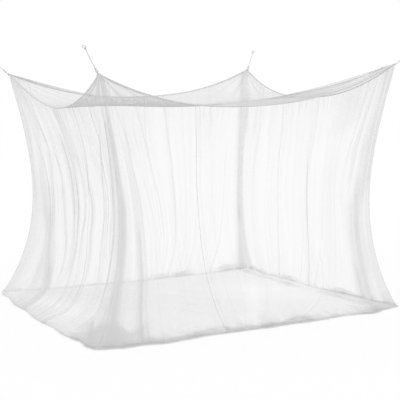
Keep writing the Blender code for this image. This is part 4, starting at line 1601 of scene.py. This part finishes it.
# A band of tape that runs out from its tack, round the cord and back
def makeTab(name, plain, tack, axes):
    radius, length = tab["loopRadius"], hanging["tabLength"]
    turn = np.linspace(-0.5 * np.pi, 0.5 * np.pi, tab["loopPoints"])
    run = np.linspace(-tab["tail"], length - tab["neck"], tab["runPoints"])
    rise = mix(tab["tackHalf"], radius, smooth(*tab["opens"], run))
    x = np.concatenate([run, length + radius * np.cos(turn), run[::-1]])
    z = np.concatenate([-rise, radius * np.sin(turn), rise[::-1]])
    y = np.linspace(-0.5, 0.5, tab["rows"]) * hanging["tabWidth"]
    flat = x[:, None, None] * axes[:, 0] + z[:, None, None] * axes[:, 2]
    band = tack + (flat + y[None, :, None] * axes[:, 1])
    uv = np.stack(np.broadcast_arrays(y[None], arcLengths(band[:, :1], 0)), -1).reshape(-1, 2)
    obj = newObject(plain + "Tab", band.reshape(-1, 3), [gridFaces(len(x), len(y))], uv)
    tape = obj.modifiers.new("tape", "SOLIDIFY")
    tape.thickness = tab["thickness"]
    tape.offset = 0
    dress(obj, boundTape, "white_binding", name + "_tab", name + "_tab")


# The cord hangs a little between its knots
def makeCord(name, plain, pivot, axes):
    body = name + "_hanging_cord"
    for place in ("lower", "upper"):
        label = plain + place.capitalize() + "Eye"
        eye = makeEye(label, pivot, axes, hanging[place + "EyeRadius"], place == "upper")
        dress(eye, braidedCord, "white_cord", body, f"{name}_{place}_eye")
    share = np.linspace(0, 1, hanging["cordPoints"])
    fine = np.linspace(0, 1, braid["cordPoints"])
    route = [cordStart + hanging["cordLength"] * share, 0 * share, -hanging["cordSag"] * hump(share)]
    run = pivot + np.stack([np.interp(fine, share, line) for line in route], 1) @ axes.T
    cord = braidedTube(plain + "Cord", run)
    dress(cord, braidedCord, "white_cord", body, name + "_cord")
    [tuple(p) for p in pivot + np.stack(route, 1) @ axes.T]


# The patch lies against the corner, the tab is tacked outside it, and the cord starts at the
# tab's fold
def makeCorner(name):
    plain = name.split("_")[0] + name.split("_")[1].capitalize()
    out, axes = cornerFrame(name)
    corner = np.append(cornerPlan(name, 1.0), cornerHeight(name)) + origin
    rise = hanging["rise"]
    reach = net["seamRadius"] + net["gap"] + net["patchThickness"] + net["gap"]
    reach += hanging["tabWidth"] / 2 * math.cos(rise) + hanging["tackThickness"] / 2 * math.sin(rise)
    tack = corner + out * reach
    makePatch(name, plain, corner, out, axes)
    makeTab(name, plain, tack, axes)
    makeCord(name, plain, tack + axes[:, 0] * hanging["tabLength"], axes)


for name in corners:
    makeCorner(name)
print("corners made")


# Studio: a white floor that keeps the net's soft shadow, and light from all round
studio = {
    "floorSize": 60,
    "floorDrop": 0.001,
    "floorColour": (0.90, 0.90, 0.90, 1),
    "shadowShare": 0.28,
    "floorGlow": 1.06,
    "worldLight": 0.78,
    "sunPower": 0.6,
    "sunWidth": 70,
    "sunAim": (0.45, 0.55, -1.0),
    "clearLayers": 48,
}


def seenDirectly(tree):  # 1 for what the camera sees, also by mirror or through a piece
    kinds = ("Is Camera Ray", "Is Glossy Ray", "Is Transmission Ray")
    camera, glossy, through = (addNode(tree, "ShaderNodeLightPath", None, None, kind) for kind in kinds)
    return camera.larger(glossy).larger(through)


def makeStudio():
    square = np.array(((-1, -1), (1, -1), (1, 1), (-1, 1))) * studio["floorSize"] / 2
    points = np.column_stack([square, np.full(4, -studio["floorDrop"])])
    ground = newObject("studioFloor", points, [np.array(((0, 1, 2, 3),))])
    material, tree = newMaterial("studioWhite")
    share = seenDirectly(tree) * (1 - studio["shadowShare"])
    diffuse = addNode(tree, "ShaderNodeBsdfDiffuse", None, {"Color": studio["floorColour"]})
    glow = {"Color": (1, 1, 1, 1), "Strength": studio["floorGlow"]}
    white = addNode(tree, "ShaderNodeEmission", None, glow)
    shader = addNode(tree, "ShaderNodeMixShader", None, {0: share, 1: diffuse, 2: white})
    addNode(tree, "ShaderNodeOutputMaterial", None, {"Surface": shader})
    ground.data.materials.append(material)

    world = bpy.data.worlds.new("studioWorld")
    bpy.context.scene.world = world
    world.use_nodes = True
    tree = world.node_tree
    tree.nodes.clear()
    strength = studio["worldLight"] + seenDirectly(tree) * (1 - studio["worldLight"])
    background = addNode(tree, "ShaderNodeBackground", None, {"Color": (1, 1, 1, 1), "Strength": strength})
    addNode(tree, "ShaderNodeOutputWorld", None, {"Surface": background})

    lamp = bpy.data.lights.new("studioSun", "SUN")
    lamp.energy = studio["sunPower"]
    lamp.angle = math.radians(studio["sunWidth"])
    sun = bpy.data.objects.new("studioSun", lamp)
    sun.rotation_euler = Vector(studio["sunAim"]).to_track_quat("-Z", "Y").to_euler()
    bpy.context.scene.collection.objects.link(sun)


makeStudio()

# Camera, solved from the net's corners in the photograph. Focal and frame are in pixels.
camera = {
    "place": (-3.0010, -6.2360, 1.4114),
    "azimuth": math.radians(-26.456),
    "elevation": math.radians(6.157),
    "roll": math.radians(-1.061),
    "focal": 1072.7,
    "frame": 400,
    "sensor": 36,
    "farthest": 100,
}


def makeCamera():
    a, e, r = camera["azimuth"], camera["elevation"], camera["roll"]
    back = np.array((math.sin(a) * math.cos(e), -math.cos(a) * math.cos(e), math.sin(e)))
    right = np.array((math.cos(a), math.sin(a), 0))
    up = np.cross(back, right)
    turned = (math.cos(r) * right + math.sin(r) * up, math.cos(r) * up - math.sin(r) * right, back)
    data = bpy.data.cameras.new("camera")
    data.sensor_width = camera["sensor"]
    data.lens = camera["sensor"] * camera["focal"] / camera["frame"]
    data.clip_end = camera["farthest"]
    obj = bpy.data.objects.new("camera", data)
    obj.matrix_world = Matrix.Translation(camera["place"]) @ Matrix(turned).transposed().to_4x4()
    bpy.context.scene.collection.objects.link(obj)
    bpy.context.scene.camera = obj


makeCamera()
bpy.context.scene.view_settings.view_transform = "Standard"
bpy.context.scene.cycles.transparent_max_bounces = studio["clearLayers"]
print("studio and camera made")
